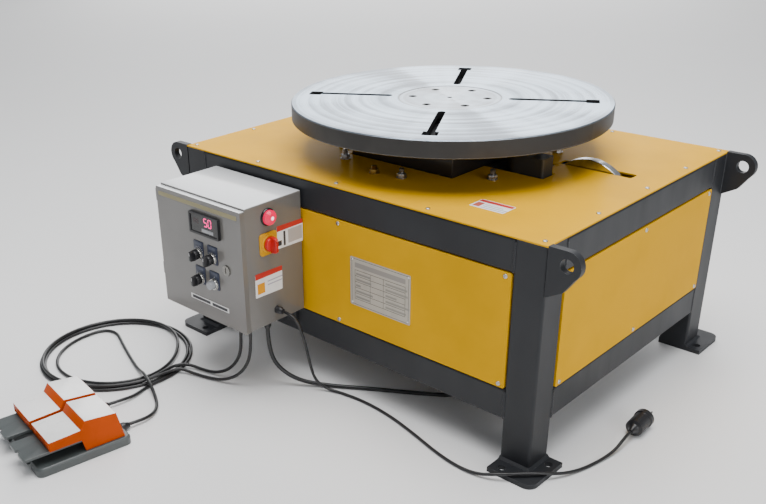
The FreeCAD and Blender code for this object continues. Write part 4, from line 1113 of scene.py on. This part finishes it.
    def plug(self) -> bpy.types.Object:
        """The round mains plug with a ribbed grip, a collar and four pins.

        Returns:
            The finished object.
        """
        a, b = millimetres(self.supply_route[-2:])
        axis = (b - a).normalized()
        profile = [(0.0036, 0.0), (0.0055, 0.0), (0.0068, 0.008), (0.0125, 0.017)]
        for i in range(9):
            h = 0.019 + 0.0045 * i
            profile += [(0.0178, h), (0.0190, h + 0.001), (0.0190, h + 0.0028),
                        (0.0178, h + 0.0038)]
        profile += [(0.0185, 0.062), (0.0210, 0.064), (0.0210, 0.0745), (0.0195, 0.076),
                    (0.0150, 0.076), (0.0150, 0.0735), (0.0, 0.0735)]
        shell = Stock.lathe("supply_plug_shell", b, axis, profile)
        shell.smooth(30).paint("black_plastic", "nickel")
        side = axis.cross(UP)
        pins = []
        for i in range(4):
            t = math.radians(90 * i + 45)
            at = b + axis * 0.073 + side * (0.0105 * math.cos(t)) + UP * (0.0105 * math.sin(t))
            pin = Stock.lathe("pin", at, axis, [
                (0.0, 0.0), (0.0024, 0.0), (0.0024, 0.0195), (0.0016, 0.021), (0.0, 0.021)], 16)
            pins.append(pin.smooth().paint("nickel"))
        shell.join(*pins)
        return shell.ride(Body.MACHINE, "cord_black", "mains_plug", ["supply_plug"])


# ---------------------------------------------------------------------- frame and covers
def islands(node: str) -> list[tuple[Vector, Vector]]:
    """The separate solids of a CAD node.

    Args:
        node: the node's name.

    Returns:
        The lowest and highest corner of each solid.
    """
    mesh = bmesh.new()
    mesh.from_mesh(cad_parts[node].data)
    bmesh.ops.remove_doubles(mesh, verts=mesh.verts, dist=MERGE)
    seen, found = set(), []
    for seed in mesh.verts:
        if seed in seen:
            continue
        seen.add(seed)
        queue, group = [seed], []
        while queue:
            vert = queue.pop()
            group.append(vert.co.copy())
            for edge in vert.link_edges:
                other = edge.other_vert(vert)
                if other not in seen:
                    seen.add(other)
                    queue.append(other)
        found.append(tuple(Vector([pick(p[i] for p in group) for i in range(3)])
                           for pick in (min, max)))
    mesh.free()
    return found


@dataclass
class Frame:
    """Painted tube frame, with weld beads at the rails and the lugs."""

    half_length: float = 0.520
    half_width: float = 0.390
    tube: float = 0.070
    rail_feet: Pair = (0.427, 0.104)
    lug_span: Pair = (0.400, 0.495)
    lug_thickness: float = 0.015
    ripple_radius: float = 0.0036
    ripple_height: float = 0.0013
    ripple_pitch: float = 0.0026
    bead_end: float = 0.004

    def build(self) -> None:
        """Dress the frame and lay the beads."""
        legs = [f"leg_{y}_{x}" for x in ("right", "left") for y in ("front", "rear")]
        rails = [f"{level}_rail_{side}" for level in ("top", "lower")
                 for side in ("front", "rear", "right", "left")]
        dress("frame_paint", *legs, *rails, "lifting_lugs_right", "lifting_lugs_left",
              "cross_beam_left", "cross_beam_right", "turret_base_plate", "panel_strips")
        self.beads().ride(Body.MACHINE, "frame_grey", "weld_beads")

    def beads(self) -> Stock:
        """Rippled weld beads up every rail end and behind every lug.

        Returns:
            The beads.
        """
        r, h = self.ripple_radius, self.ripple_height
        ripple = Stock.lathe("ripple", ORIGIN, UP, [
            (0.0, -0.0003), (r, -0.0003), (0.82 * r, 0.55 * h), (0.45 * r, h), (0.0, h)], 10)
        turns, length = [], self.tube - 2 * self.bead_end
        end_x, end_y = self.half_length - self.tube, self.half_width - self.tube
        for foot, a, b in product(self.rail_feet, BOTH, BOTH):
            z = foot + self.bead_end
            turns += self.run((a * end_x, b * self.half_width, z), length, Vector((0, b, 0)))
            turns += self.run((a * self.half_length, b * end_y, z), length, Vector((a, 0, 0)))
        low, high = self.lug_span
        for a, b in product(BOTH, BOTH):
            y = b * (self.half_width - self.lug_thickness)
            turns += self.run((a * self.half_length, y, low), high - low,
                              Vector((a, -b, 0)).normalized())
        return ripple.repeat(turns).smooth(60).paint("frame_paint")

    def run(self, foot: Point, length: float, out: Vector) -> list[Matrix]:
        """Places of the ripples of one upright bead.

        Args:
            foot: its lower end.
            length: its length.
            out: the direction that it faces.

        Returns:
            One matrix for each ripple.
        """
        wobble = random.Random(str(foot))
        places = []
        for i in range(int(length / self.ripple_pitch)):
            at = Vector(foot) + UP * (i * self.ripple_pitch) + across(out) * wobble.uniform(
                -0.0004, 0.0004)
            places.append(spot(at, out) @ Matrix.Diagonal((1, 1, wobble.uniform(0.8, 1.15), 1)))
        return places


@dataclass
class Covers:
    """Yellow sheet covers, their screws, the hold-down bolts and a plain sticker."""

    screw_radius: float = 0.005
    screw_height: float = 0.0025
    washer_radius: float = 0.012
    washer_thickness: float = 0.0025
    hex_radius: float = 0.01096
    hex_height: float = 0.008
    stud_radius: float = 0.006
    stud_height: float = 0.0185
    hold_down_height: float = 0.023
    thread_pitch: float = 0.0009
    sticker: tuple[Point, Point] = ((0.281, -0.302, 0.5), (0.363, -0.254, 0.5004))

    def build(self) -> None:
        """Dress the covers and make every fastener."""
        dress("cover_paint", "top_cover", "front_panel", "rear_panel", "right_panel",
              "left_panel")
        screws, bolts, studs = [], [], []
        for low, high in islands("cover_and_panel_screws"):
            size, middle = high - low, (low + high) / 2
            foot = (middle.x, middle.y, low.z)
            if size.z > 0.014:
                studs.append(spot(foot))
            elif max(size) > 0.015:
                turn = random.Random(len(bolts)).uniform(0, 1)
                bolts.append(spot(foot) @ Matrix.Rotation(turn, 4, "Z"))
            else:
                thin = min(range(3), key=lambda i: size[i])
                out = Vector((0, 0, 0))
                out[thin] = 1.0 if middle[thin] > 0 else -1.0
                screws.append(spot(middle - out * (size[thin] / 2), out))
        fasteners = self.screw().repeat(screws)
        fasteners.join(self.stud(self.hold_down_height).paint("zinc_plate").repeat(bolts),
                       self.stud(self.stud_height).paint("brass").repeat(studs))
        fasteners.ride(Body.MACHINE, "zinc_plate", "fasteners", ["cover_and_panel_screws"])
        (x0, y0, _), (x1, y1, _) = self.sticker
        sheet = RuledSheet("cover_sticker_print", PAPER, (0, x0, x1), (1, y0, y1),
                           [(0.02, 0.98, 0.72, 0.96, RED),
                            (0.05, 0.24, 0.12, 0.62, (0.5, 0.1, 0.07))],
                           [(0.10, 0.62, 0.30, 1.0, 0.17, (0.25, 0.25, 0.26))])
        label = Stock.tablet("cover_sticker", *self.sticker, 0.003)
        label.smooth().paint(sheet.make()).ride(Body.MACHINE, "label_silver")

    def screw(self) -> Stock:
        """Raised-head screw with a cross recess, on the origin along +Z.

        Returns:
            The screw.
        """
        r, h = self.screw_radius, self.screw_height
        head = Stock.lathe("screw", ORIGIN, UP, [
            (0.0, 0.0), (r, 0.0), (r, 0.25 * h), (0.92 * r, 0.62 * h), (0.66 * r, 0.92 * h),
            (0.3 * r, h), (0.0, h)], 22)
        for a, b in ((0.55 * r, 0.12 * r), (0.12 * r, 0.55 * r)):
            head.cut(Stock.block("recess", (-a, -b, 0.4 * h), (a, b, 1.5 * h)))
        return head.smooth(40).paint("zinc_plate")

    def stud(self, height: float) -> Stock:
        """Threaded stud with a hexagon nut and a washer, on the origin along +Z.

        Args:
            height: how far it stands out.

        Returns:
            The stud.
        """
        t, h, r, w = self.washer_thickness, self.hex_height, self.stud_radius, self.washer_radius
        profile, z = [(0.0, t + h - 0.001)], t + h - 0.001
        while z < height - 0.0012:
            profile += [(0.87 * r, z), (r, z + 0.0004)]
            z += self.thread_pitch
        profile += [(0.8 * r, height - 0.0003), (0.0, height)]
        thread = Stock.lathe("stud", ORIGIN, UP, profile, 24)
        washer = Stock.lathe("washer", ORIGIN, UP, [
            (0.0, 0.0), (w, 0.0), (w, 0.8 * t), (w - 0.0006, t), (0.0, t)], 36)
        nut = Stock.rod("nut", Vector((0, 0, t)), UP, self.hex_radius, h, 6)
        nut.edges(lambda c, d: c.z > t + h - 1e-5).bevel(0.0011, 2)
        nut.face(UP).inset(0.0016).move(Vector((0, 0, -0.0004)))
        washer.smooth(35).join(nut.smooth(25))
        return washer.join(thread.smooth(50))


# ---------------------------------------------------------------------- turntable
@dataclass
class Turntable:
    """Faceplate, hub, bearing, turret and drive."""

    turret_edge: float = 0.0025

    def build(self) -> None:
        """Dress the turntable, the turret and the drive."""
        dress("faced_steel", "faceplate")
        dress("black_bolt", "hub_bolts")
        dress("cut_gear_steel", "ring_gear", "faceplate_hub", "bearing_fixed_ring", "pinion")
        dress("polished_rim", "worm_shaft_wheel")
        dress("reducer_paint", "reducer_housing")
        dress("motor_paint", "drive_motor")
        turret = Stock.from_node("turret_box", "turret")
        turret.soften(self.turret_edge, 3).paint("turret_paint")
        turret.ride(Body.MACHINE, "black_paint", "turret", ["turret_box"])


# ---------------------------------------------------------------------- control box
@dataclass
class ControlBox:
    """Control box with its door, meter, operators, lamp and main switch."""

    door_face: float = -0.5795
    side_face: float = -0.109
    back_face: float = -0.3973
    floor_face: float = 0.1775
    seal: tuple[Point, Point] = ((-0.3985, -0.5773, 0.1805), (-0.1115, -0.5672, 0.4645))
    seal_hole: tuple[Point, Point] = ((-0.3905, -0.60, 0.1885), (-0.1195, -0.55, 0.4565))
    meter: tuple[float, float, float, float] = (-0.2765, -0.1755, 0.388, 0.438)
    meter_proud: float = 0.008
    meter_window: float = 0.0022
    meter_depth: float = 0.060
    operators: tuple[Pair, ...] = (
        (-0.258, 0.337), (-0.209, 0.337), (-0.258, 0.275), (-0.209, 0.275))
    legend_half: Pair = (0.017, 0.022)
    legend_rise: float = 0.008
    legend_thickness: float = 0.0015
    collar_height: float = 0.006
    knob_height: float = 0.022
    knob_radius: float = 0.0115
    knob_ribs: int = 20
    lamp_at: Pair = (-0.500, 0.438)
    switch_at: Pair = (-0.5025, 0.377)
    switch_half: float = 0.026
    switch_thickness: float = 0.004
    glands: tuple[Point, ...] = ((-0.150, -0.535, 0.178), (-0.190, -0.530, 0.178),
                                 (-0.128, -0.500, 0.178))
    side_gland: Point = (-0.109, -0.484, 0.208)
    strip: tuple[float, float, float, float] = (-0.303, -0.166, 0.213, 0.225)
    sticker_tilt: float = -1.5
    terminals: int = 20
    terminal_pitch: float = 0.0082

    def build(self) -> None:
        """Dress the box and build everything on it."""
        dress("box_coat", "control_box_door")
        shell = Stock.from_node("control_box_body", "box_shell")
        shell.soften(0.0008, 2).paint("box_coat", "frame_paint")
        shell.paint_faces(lambda c, n: c.y > self.back_face or c.z < self.floor_face)
        shell.ride(Body.MACHINE, "box_grey", "box_shell", ["control_box_body"])
        dress("galvanised", "mounting_plate")
        dress("grey_plastic", "speed_drive")
        dress("lock_nickel", "door_lock")
        seal = Stock.block("door_seal", *self.seal)
        seal.cut(Stock.block("seal_hole", *self.seal_hole)).soften(0.002, 3)
        seal.paint("gasket_rubber").ride(Body.DOOR, "dark_plastic")
        self.build_meter()
        self.build_legends()
        for (x, z), body, node in zip(
                self.operators, (Body.SPEED, Body.DIRECTION, Body.MODE),
                ("speed_knob", "direction_knob", "mode_knob")):
            self.knob(x, z).ride(body, "dark_plastic", node + "_grip", [node])
        self.build_button()
        self.build_lamp()
        self.build_switch()
        self.build_glands()
        self.stickers()
        self.inside()

    def build_meter(self) -> None:
        """Panel meter: bezel, dark window, lit figures, keys."""
        x0, x1, z0, z1 = self.meter
        y0, y1 = self.door_face - self.meter_proud, self.door_face
        bezel = Stock.block("meter_bezel", (x0, y0, z0), (x1, y1, z1))
        bezel.face(FRONT).inset(0.0045).inset(0.0004, -self.meter_window)
        bezel.edges(lambda c, d: abs(d.y) > 0.995).bevel(0.0022, 3)
        bezel.smooth(30).paint("black_plastic", "black_gloss")
        bezel.paint_faces(lambda c, n: n.y < -FACING and c.y > y0 + 0.0015)
        glass = y0 + self.meter_window
        parts = [self.figure(shown, x0 + x, z0 + z, glass, size, finish)
                 for shown, x, z, size, finish in (
                     ("5", 0.052, 0.024, 1.0, "lit_digit"),
                     ("0", 0.0665, 0.024, 1.0, "lit_digit"),
                     ("8", 0.016, 0.026, 0.55, "dim_digit"),
                     ("8", 0.026, 0.026, 0.55, "dim_digit"))]
        strip = Stock.block("key_strip", (x0 + 0.042, glass - 0.0004, z0 + 0.0085),
                            (x0 + 0.082, glass + 0.0004, z0 + 0.0165))
        parts.append(strip.soften(0.0004).paint("clear_grey_plastic"))
        key = Stock.rod("key", ORIGIN, FRONT, 0.0022, 0.0012, 24, 0.0018)
        parts.append(key.repeat([spot((x0 + 0.048 + 0.0095 * i, glass - 0.0002, z0 + 0.0125))
                                 for i in range(4)]).paint("grey_plastic"))
        bezel.join(*parts)
        back = Stock.block("meter_case", (-0.272, y1, 0.3905),
                           (-0.180, y1 + self.meter_depth, 0.4355))
        back.face(-FRONT).scale((0.97, 1, 0.94), (-0.226, y1, 0.413))
        bezel.join(back.soften(0.001).paint("black_plastic"))
        bezel.ride(Body.DOOR, "dark_plastic", "meter", ["panel_meter"])

    def figure(self, shown: str, x: float, z: float, y: float, size: float,
               finish: str) -> Stock:
        """One seven-segment figure.

        Args:
            shown: the digit.
            x: its left side.
            z: its foot.
            y: the glass behind it.
            size: 1 for 18 mm high.
            finish: the segments' finish.

        Returns:
            The figure's segments.
        """
        w, h, t = 0.0098 * size, 0.018 * size, 0.0021 * size
        places = {"a": (0, h, w, 0), "b": (w, h / 2, 0, h / 2), "c": (w, 0, 0, h / 2),
                  "d": (0, 0, w, 0), "e": (0, 0, 0, h / 2), "f": (0, h / 2, 0, h / 2),
                  "g": (0, h / 2, w, 0)}
        bars = []
        for letter in {"5": "afgcd", "0": "abcdef", "8": "abcdefg"}[shown]:
            a, b, along, up = places[letter]
            low = (x + a + (t * 0.3 if along else -t / 2), y - 0.0003,
                   z + b + (t * 0.3 if up else -t / 2))
            high = (x + a + (along - t * 0.3 if along else t / 2), y + 0.0003,
                    z + b + (up - t * 0.3 if up else t / 2))
            bars.append(Stock.tablet("segment", low, high, t * 0.4, 1))
        return bars[0].join(*bars[1:]).paint(finish)

    def build_legends(self) -> None:
        """Legend plates with plain marks, and the operators' turned collars."""
        (w, h), n = self.legend_half, self.collar_height
        y0, y1 = self.door_face - self.legend_thickness, self.door_face
        parts = []
        for number, (x, z) in enumerate(self.operators):
            zc = z + self.legend_rise
            plate = Stock.tablet("legend", (x - w, y0, zc - h), (x + w, y1, zc + h), 0.003)
            tick = Stock.tablet("tick", (-0.0003, y0 - 0.0001, 0.0152),
                                (0.0003, y0 + 0.0002, 0.0176), 0.0001, 1)
            angles = range(-60, 61, 15) if number == 0 else (-45, 45) if number < 3 else (0,)
            marks = tick.repeat([turn_about(a, "Y", (x, 0, z)) for a in angles])
            blank = Stock.tablet("blank_field", (x - 0.011, y0 - 0.0002, zc + 0.0125),
                                 (x + 0.011, y0 + 0.0002, zc + 0.0185), 0.0008, 2)
            collar = Stock.lathe("collar", Vector((x, y0, z)), FRONT, [
                (0.0103, 0.0), (0.0140, 0.0), (0.0140, 0.0018), (0.0134, 0.0024), (0.0134, 0.0042),
                (0.0126, n), (0.0108, n), (0.0103, n - 0.0006), (0.0103, 0.0)])
            parts += [plate.soften(0.0004, 2).paint("legend_blue"), marks.paint("white_mark"),
                      blank.paint("legend_grey"), collar.smooth(30).paint("nickel")]
        parts[0].join(*parts[1:]).ride(Body.DOOR, "blue_black", "legends", ["legend_plates"])

    def knob(self, x: float, z: float) -> Stock:
        """A black grip knob with a pointer line.

        Args:
            x: its place across.
            z: its height.

        Returns:
            The knob.
        """
        r = self.knob_radius
        seat = self.door_face - self.legend_thickness - self.collar_height
        foot = Vector((x, seat - 0.0003, z))
        skirt = Stock.lathe("skirt", foot, FRONT, [
            (0.0, -0.0045), (0.0098, -0.0045), (0.0098, -0.0002), (r, 0.0), (r, 0.0085),
            (r - 0.0012, 0.0115), (0.0, 0.0118)], 40)
        rib = Stock.block("rib", (-0.0005, foot.y - 0.0085, r - 0.0003),
                          (0.0005, foot.y - 0.0005, r + 0.0006))
        rib.face(FRONT).scale((0.6, 1, 1), (0, foot.y, r))
        ribs = rib.repeat([turn_about(360 * i / self.knob_ribs, "Y", (x, 0, z))
                           for i in range(self.knob_ribs)])
        y0, y1 = seat - self.knob_height, seat - 0.006
        grip = Stock.block("grip", (x - 0.004, y0, z - r - 0.002), (x + 0.004, y1, z + r))
        grip.face(FRONT).scale((0.72, 1, 0.9), (x, y0, z))
        grip.edges(lambda c, d: abs(d.x) > FACING).bevel(0.003, 4)
        line = Stock.block("pointer", (x - 0.0005, y0 - 0.0001, z + 0.001),
                           (x + 0.0005, y0 + 0.0004, z + 0.0085))
        line.face(FRONT).inset(0.0001)
        return skirt.smooth(35).paint("black_plastic").join(
            ribs.paint("black_plastic"), grip.soften(0.0008, 2).paint("black_plastic"),
            line.paint("white_mark"))

    def build_button(self) -> None:
        """Push button with a crowned clear cap."""
        x, z = self.operators[3]
        back = Vector((x, self.door_face - self.legend_thickness - 0.0045, z))
        cap = Stock.lathe("push_cap", back, FRONT, [
            (0.0, 0.0), (0.0100, 0.0), (0.0100, 0.0112), (0.0094, 0.0129), (0.0080, 0.0137),
            (0.0068, 0.0133), (0.0045, 0.0137), (0.0, 0.0139)])
        cap.smooth(35).paint("clear_grey_plastic")
        cap.ride(Body.BUTTON, "clear_cap", "push_cap", ["push_button"])

    def build_lamp(self) -> None:
        """Signal lamp: turned bezel and a stepped lens."""
        foot = Vector((self.side_face, *self.lamp_at))
        bezel = Stock.lathe("lamp_bezel", foot, ALONG_X, [
            (0.0, 0.0), (0.0200, 0.0), (0.0200, 0.0028), (0.0190, 0.0046), (0.0172, 0.0050),
            (0.0168, 0.0042), (0.0, 0.0042)])
        lens = Stock.lathe("lamp_lens", foot, ALONG_X, [
            (0.0168, 0.0035), (0.0170, 0.0105), (0.0160, 0.0125), (0.0150, 0.0128),
            (0.0138, 0.0146), (0.0125, 0.0148), (0.0110, 0.0165), (0.0095, 0.0167),
            (0.0060, 0.0176), (0.0, 0.0179)])
        bezel.smooth(30).paint("black_gloss").join(lens.smooth(20).paint("lit_lens"))
        bezel.ride(Body.MACHINE, "lamp_red", "lamp", ["signal_lamp"])

    def build_switch(self) -> None:
        """Main switch: yellow plate with a ring, and a red grip."""
        (y, z), x, half = self.switch_at, self.side_face, self.switch_half
        top = x + self.switch_thickness
        plate = Stock.tablet("switch_plate", (x, y - half, z - half), (top, y + half, z + half),
                             0.0085, 5)
        ring = Stock.lathe("switch_ring", Vector((top, y, z)), ALONG_X, [
            (0.0, -0.0005), (0.0210, -0.0005), (0.0210, 0.0020), (0.0198, 0.0030), (0.0180, 0.0030),
            (0.0176, 0.0022), (0.0, 0.0022)])
        plate.soften(0.0008, 3).paint("switch_yellow")
        plate.join(ring.smooth(30).paint("switch_yellow"))
        plate.ride(Body.MACHINE, "switch_yellow", "switch_plate", ["main_switch_plate"])
        at = Vector((x + 0.0074, y, z))
        disc = Stock.lathe("switch_disc", at, ALONG_X, [
            (0.0, -0.0004), (0.0050, -0.0004), (0.0050, 0.0), (0.0170, 0.0), (0.0170, 0.0058),
            (0.0160, 0.0080), (0.0140, 0.0090), (0.0, 0.0090)])
        grip = Stock.block("switch_grip", (at.x + 0.007, y - 0.0052, z - 0.019),
                           (at.x + 0.024, y + 0.0052, z + 0.019))
        grip.face(ALONG_X).scale((1, 0.74, 0.88), (at.x + 0.024, y, z))
        grip.edges(lambda c, d: abs(d.y) > FACING and c.x > at.x + 0.02).bevel(0.005, 5)
        mark = Stock.block("switch_mark", (at.x + 0.0238, y - 0.0006, z + 0.004),
                           (at.x + 0.0240, y + 0.0006, z + 0.014))
        mark.face(ALONG_X).inset(0.0001)
        disc.smooth(30).paint("switch_red").join(grip.soften(0.0010, 3).paint("switch_red"),
                                                 mark.paint("white_mark"))
        disc.ride(Body.SWITCH, "switch_red", "switch_grip", ["main_switch_handle"])

    def build_glands(self) -> None:
        """Cable glands: hexagon, ridged dome nut and seal."""
        nut = Stock.rod("gland_hex", ORIGIN, UP, 0.0099, 0.0055, 6)
        nut.edges(lambda c, d: c.z > 0.005).bevel(0.0009, 2)
        profile = [(0.0, 0.005)]
        for i in range(4):
            z = 0.0055 + 0.002 * i
            profile += [(0.0084, z), (0.0088, z + 0.0004), (0.0088, z + 0.0014),
                        (0.0084, z + 0.0018)]
        profile += [(0.0078, 0.0150), (0.0066, 0.0178), (0.0060, 0.0198), (0.0050, 0.0200),
                    (0.0, 0.0190)]
        dome = Stock.lathe("gland_dome", ORIGIN, UP, profile, 32)
        nut.smooth(25).join(dome.smooth(35))
        places = [spot(g, -UP) for g in self.glands] + [spot(self.side_gland, ALONG_X)]
        nut = nut.repeat(places).paint("black_plastic")
        nut.ride(Body.MACHINE, "dark_plastic", "glands", ["cable_glands"])

    def stickers(self) -> None:
        """Plain stickers on the side, a ruled strip and a pale yellow band below the door's top
        edge.
        """
        x = self.side_face
        for name, (y0, y1, z0, z1), blocks, rules in (
                ("upper_sticker", (-0.474, -0.393, 0.353, 0.407),
                 [(0, 1, 0.76, 1, RED), (0.24, 0.32, 0.06, 0.70, INK),
                  (0.42, 0.96, 0.10, 0.70, (0.42, 0.39, 0.37)),
                  (0.03, 0.17, 0.12, 0.34, INK)], ()),
                ("lower_sticker", (-0.545, -0.463, 0.256, 0.313),
                 [(0, 1, 0.76, 1, RED), (0.06, 0.33, 0.12, 0.56, AMBER)],
                 [(0.36, 0.66, 0.44, 1.0, 0.15, (0.30, 0.28, 0.38))])):
            sheet = RuledSheet(name + "_print", PAPER, (1, y0, y1), (2, z0, z1), blocks, rules)
            label = Stock.tablet(name, (x, y0, z0), (x + 0.0004, y1, z1), 0.002)
            label.smooth().paint(sheet.make()).obj.data.transform(
                turn_about(self.sticker_tilt, "X", (x, y0, z1))
                @ Matrix.Translation((-x, -y0, -z1)))
            label.ride(Body.MACHINE, "label_silver")
        y, (x0, x1, z0, z1) = self.door_face, self.strip
        sheet = RuledSheet("door_strip_print", PAPER, (0, x0, x1), (2, z0, z1),
                           [(0.04, 0.52, 0.20, 0.80, INK), (0.57, 0.96, 0.18, 0.78, INK)])
        strip = Stock.tablet("door_strip", (x0, y - 0.0004, z0), (x1, y, z1), 0.0012, 2)
        strip.smooth().paint(sheet.make()).ride(Body.DOOR, "label_silver")
        # A pale yellow band just below the door's top edge.
        yellow_band = Stock.tablet("door_trim", (-0.393, y - 0.0005, 0.4475), (-0.119, y, 0.4575),
                            0.002, 2)
        yellow_band.smooth().paint("pale_yellow_band").ride(Body.DOOR, "label_silver")

    def inside(self) -> None:
        """Rail, terminals and wiring duct on the mounting plate."""
        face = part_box("speed_drive")[1][1]
        rail = Stock.block("terminal_rail", (-0.345, face - 0.006, 0.222), (-0.160, face, 0.248))
        rail.face(FRONT).inset(0.004, -0.003).soften(0.0006).paint("galvanised")
        block = Stock.block("terminal", (0, face - 0.040, 0.212), (0.0078, face - 0.004, 0.258))
        block.face(FRONT).inset(0.0012, -0.0015).soften(0.0005, 1).paint("grey_plastic")
        blocks = block.repeat([Matrix.Translation((-0.335 + self.terminal_pitch * i, 0, 0))
                               for i in range(self.terminals)])
        duct = Stock.block("wire_duct", (-0.345, face - 0.045, 0.428), (-0.140, face, 0.442))
        duct.face(FRONT).inset(0.0015, -0.0010).soften(0.0006, 1).paint("grey_plastic")
        rail.join(blocks, duct).ride(Body.MACHINE, "zinc_plate", "box_wiring")


@dataclass
class Nameplate:
    """A bare metal plate with ruled fields and four rivets."""

    line: Colour = (0.10, 0.095, 0.085)
    rivet_inset: float = 0.006
    rivet_radius: float = 0.0024

    def build(self) -> None:
        """Dress the plate and add its rivets."""
        low, high = (Vector(v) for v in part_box("nameplate"))
        line = self.line
        blocks = [(0.025, 0.975, 0.965, 0.975, line), (0.025, 0.975, 0.025, 0.035, line),
                  (0.025, 0.032, 0.025, 0.975, line), (0.968, 0.975, 0.025, 0.975, line),
                  (0.08, 0.92, 0.80, 0.90, (0.30, 0.28, 0.25)),
                  *((0.08, 0.92, v, v + 0.010, line)
                    for v in (0.74, 0.62, 0.50, 0.38, 0.26, 0.14)),
                  *((u, u + 0.006, 0.14, 0.75, line) for u in (0.08, 0.34, 0.56, 0.914))]
        sheet = RuledSheet("nameplate_print", (0.48, 0.445, 0.375), (0, low.x, high.x),
                           (2, low.z, high.z), blocks,
                           [(0.17, 0.74, 0.10, 0.36, 0.12, (0.22, 0.21, 0.19)),
                            (0.17, 0.74, 0.60, 0.96, 0.12, (0.25, 0.24, 0.21))], 0.35, 0.34)
        dress(sheet.make(), "nameplate")
        r, i = self.rivet_radius, self.rivet_inset
        rivet = Stock.lathe("rivet", ORIGIN, UP, [
            (0.0, 0.0), (r, 0.0), (0.9 * r, 0.4 * r), (0.5 * r, 0.7 * r), (0.0, 0.8 * r)], 20)
        rivets = rivet.repeat([spot((x, low.y, z), FRONT) for x in (low.x + i, high.x - i)
                               for z in (low.z + i, high.z - i)])
        rivets.smooth(40).paint("zinc_plate")
        rivets.ride(Body.MACHINE, "label_silver", "nameplate_rivets")


@dataclass
class FootSwitch:
    """Twin foot switch: base, two guards with pale roofs, two treadles."""

    place: Point = (-0.303, -0.955, 0.0)
    turn: float = -9.0
    relief_start: float = 0.1085
    roof_height: float = 0.060

    def build(self) -> None:
        """Build the foot switch."""
        base = Stock.from_node("foot_switch_base", "pedal_base")
        base.soften(0.0012, 3).paint("pedal_paint", "black_plastic")
        stand = turn_about(self.turn, "Z", self.place)
        back = stand @ Vector((0, self.relief_start, 0))
        way = stand @ Vector((0, 1, 0)) - stand @ ORIGIN
        base.paint_faces(lambda c, n: (c - back).dot(way) > 0)
        base.ride(Body.MACHINE, "pedal_grey", "pedal_base", ["foot_switch_base"])
        guards = Stock.from_node("foot_switch_guards", "pedal_guards")
        guards.soften(0.0014, 3, 28).paint("guard_paint", "roof_paint")
        guards.paint_faces(lambda c, n: n.z > 0.85 and c.z > self.roof_height)
        guards.ride(Body.MACHINE, "pedal_orange", "pedal_guards", ["foot_switch_guards"])
        for body, node in ((Body.PEDAL_LEFT, "treadle_left"),
                           (Body.PEDAL_RIGHT, "treadle_right")):
            plate = Stock.from_node(node, node + "_plate")
            plate.soften(0.0012, 3).paint("pedal_paint")
            plate.ride(body, "pedal_grey", node + "_plate", [node])


def main() -> None:
    """Build the studio and every sub-assembly."""
    logging.basicConfig(level=logging.INFO, format="%(name)s %(message)s")
    for finish in FINISHES:
        finish.make()
    for kind in (Studio, Cords, Frame, Covers, Turntable, ControlBox, Nameplate, FootSwitch):
        kind().build()
        LOG.info("built %s", kind.__name__)


if __name__ == "__main__":
    main()
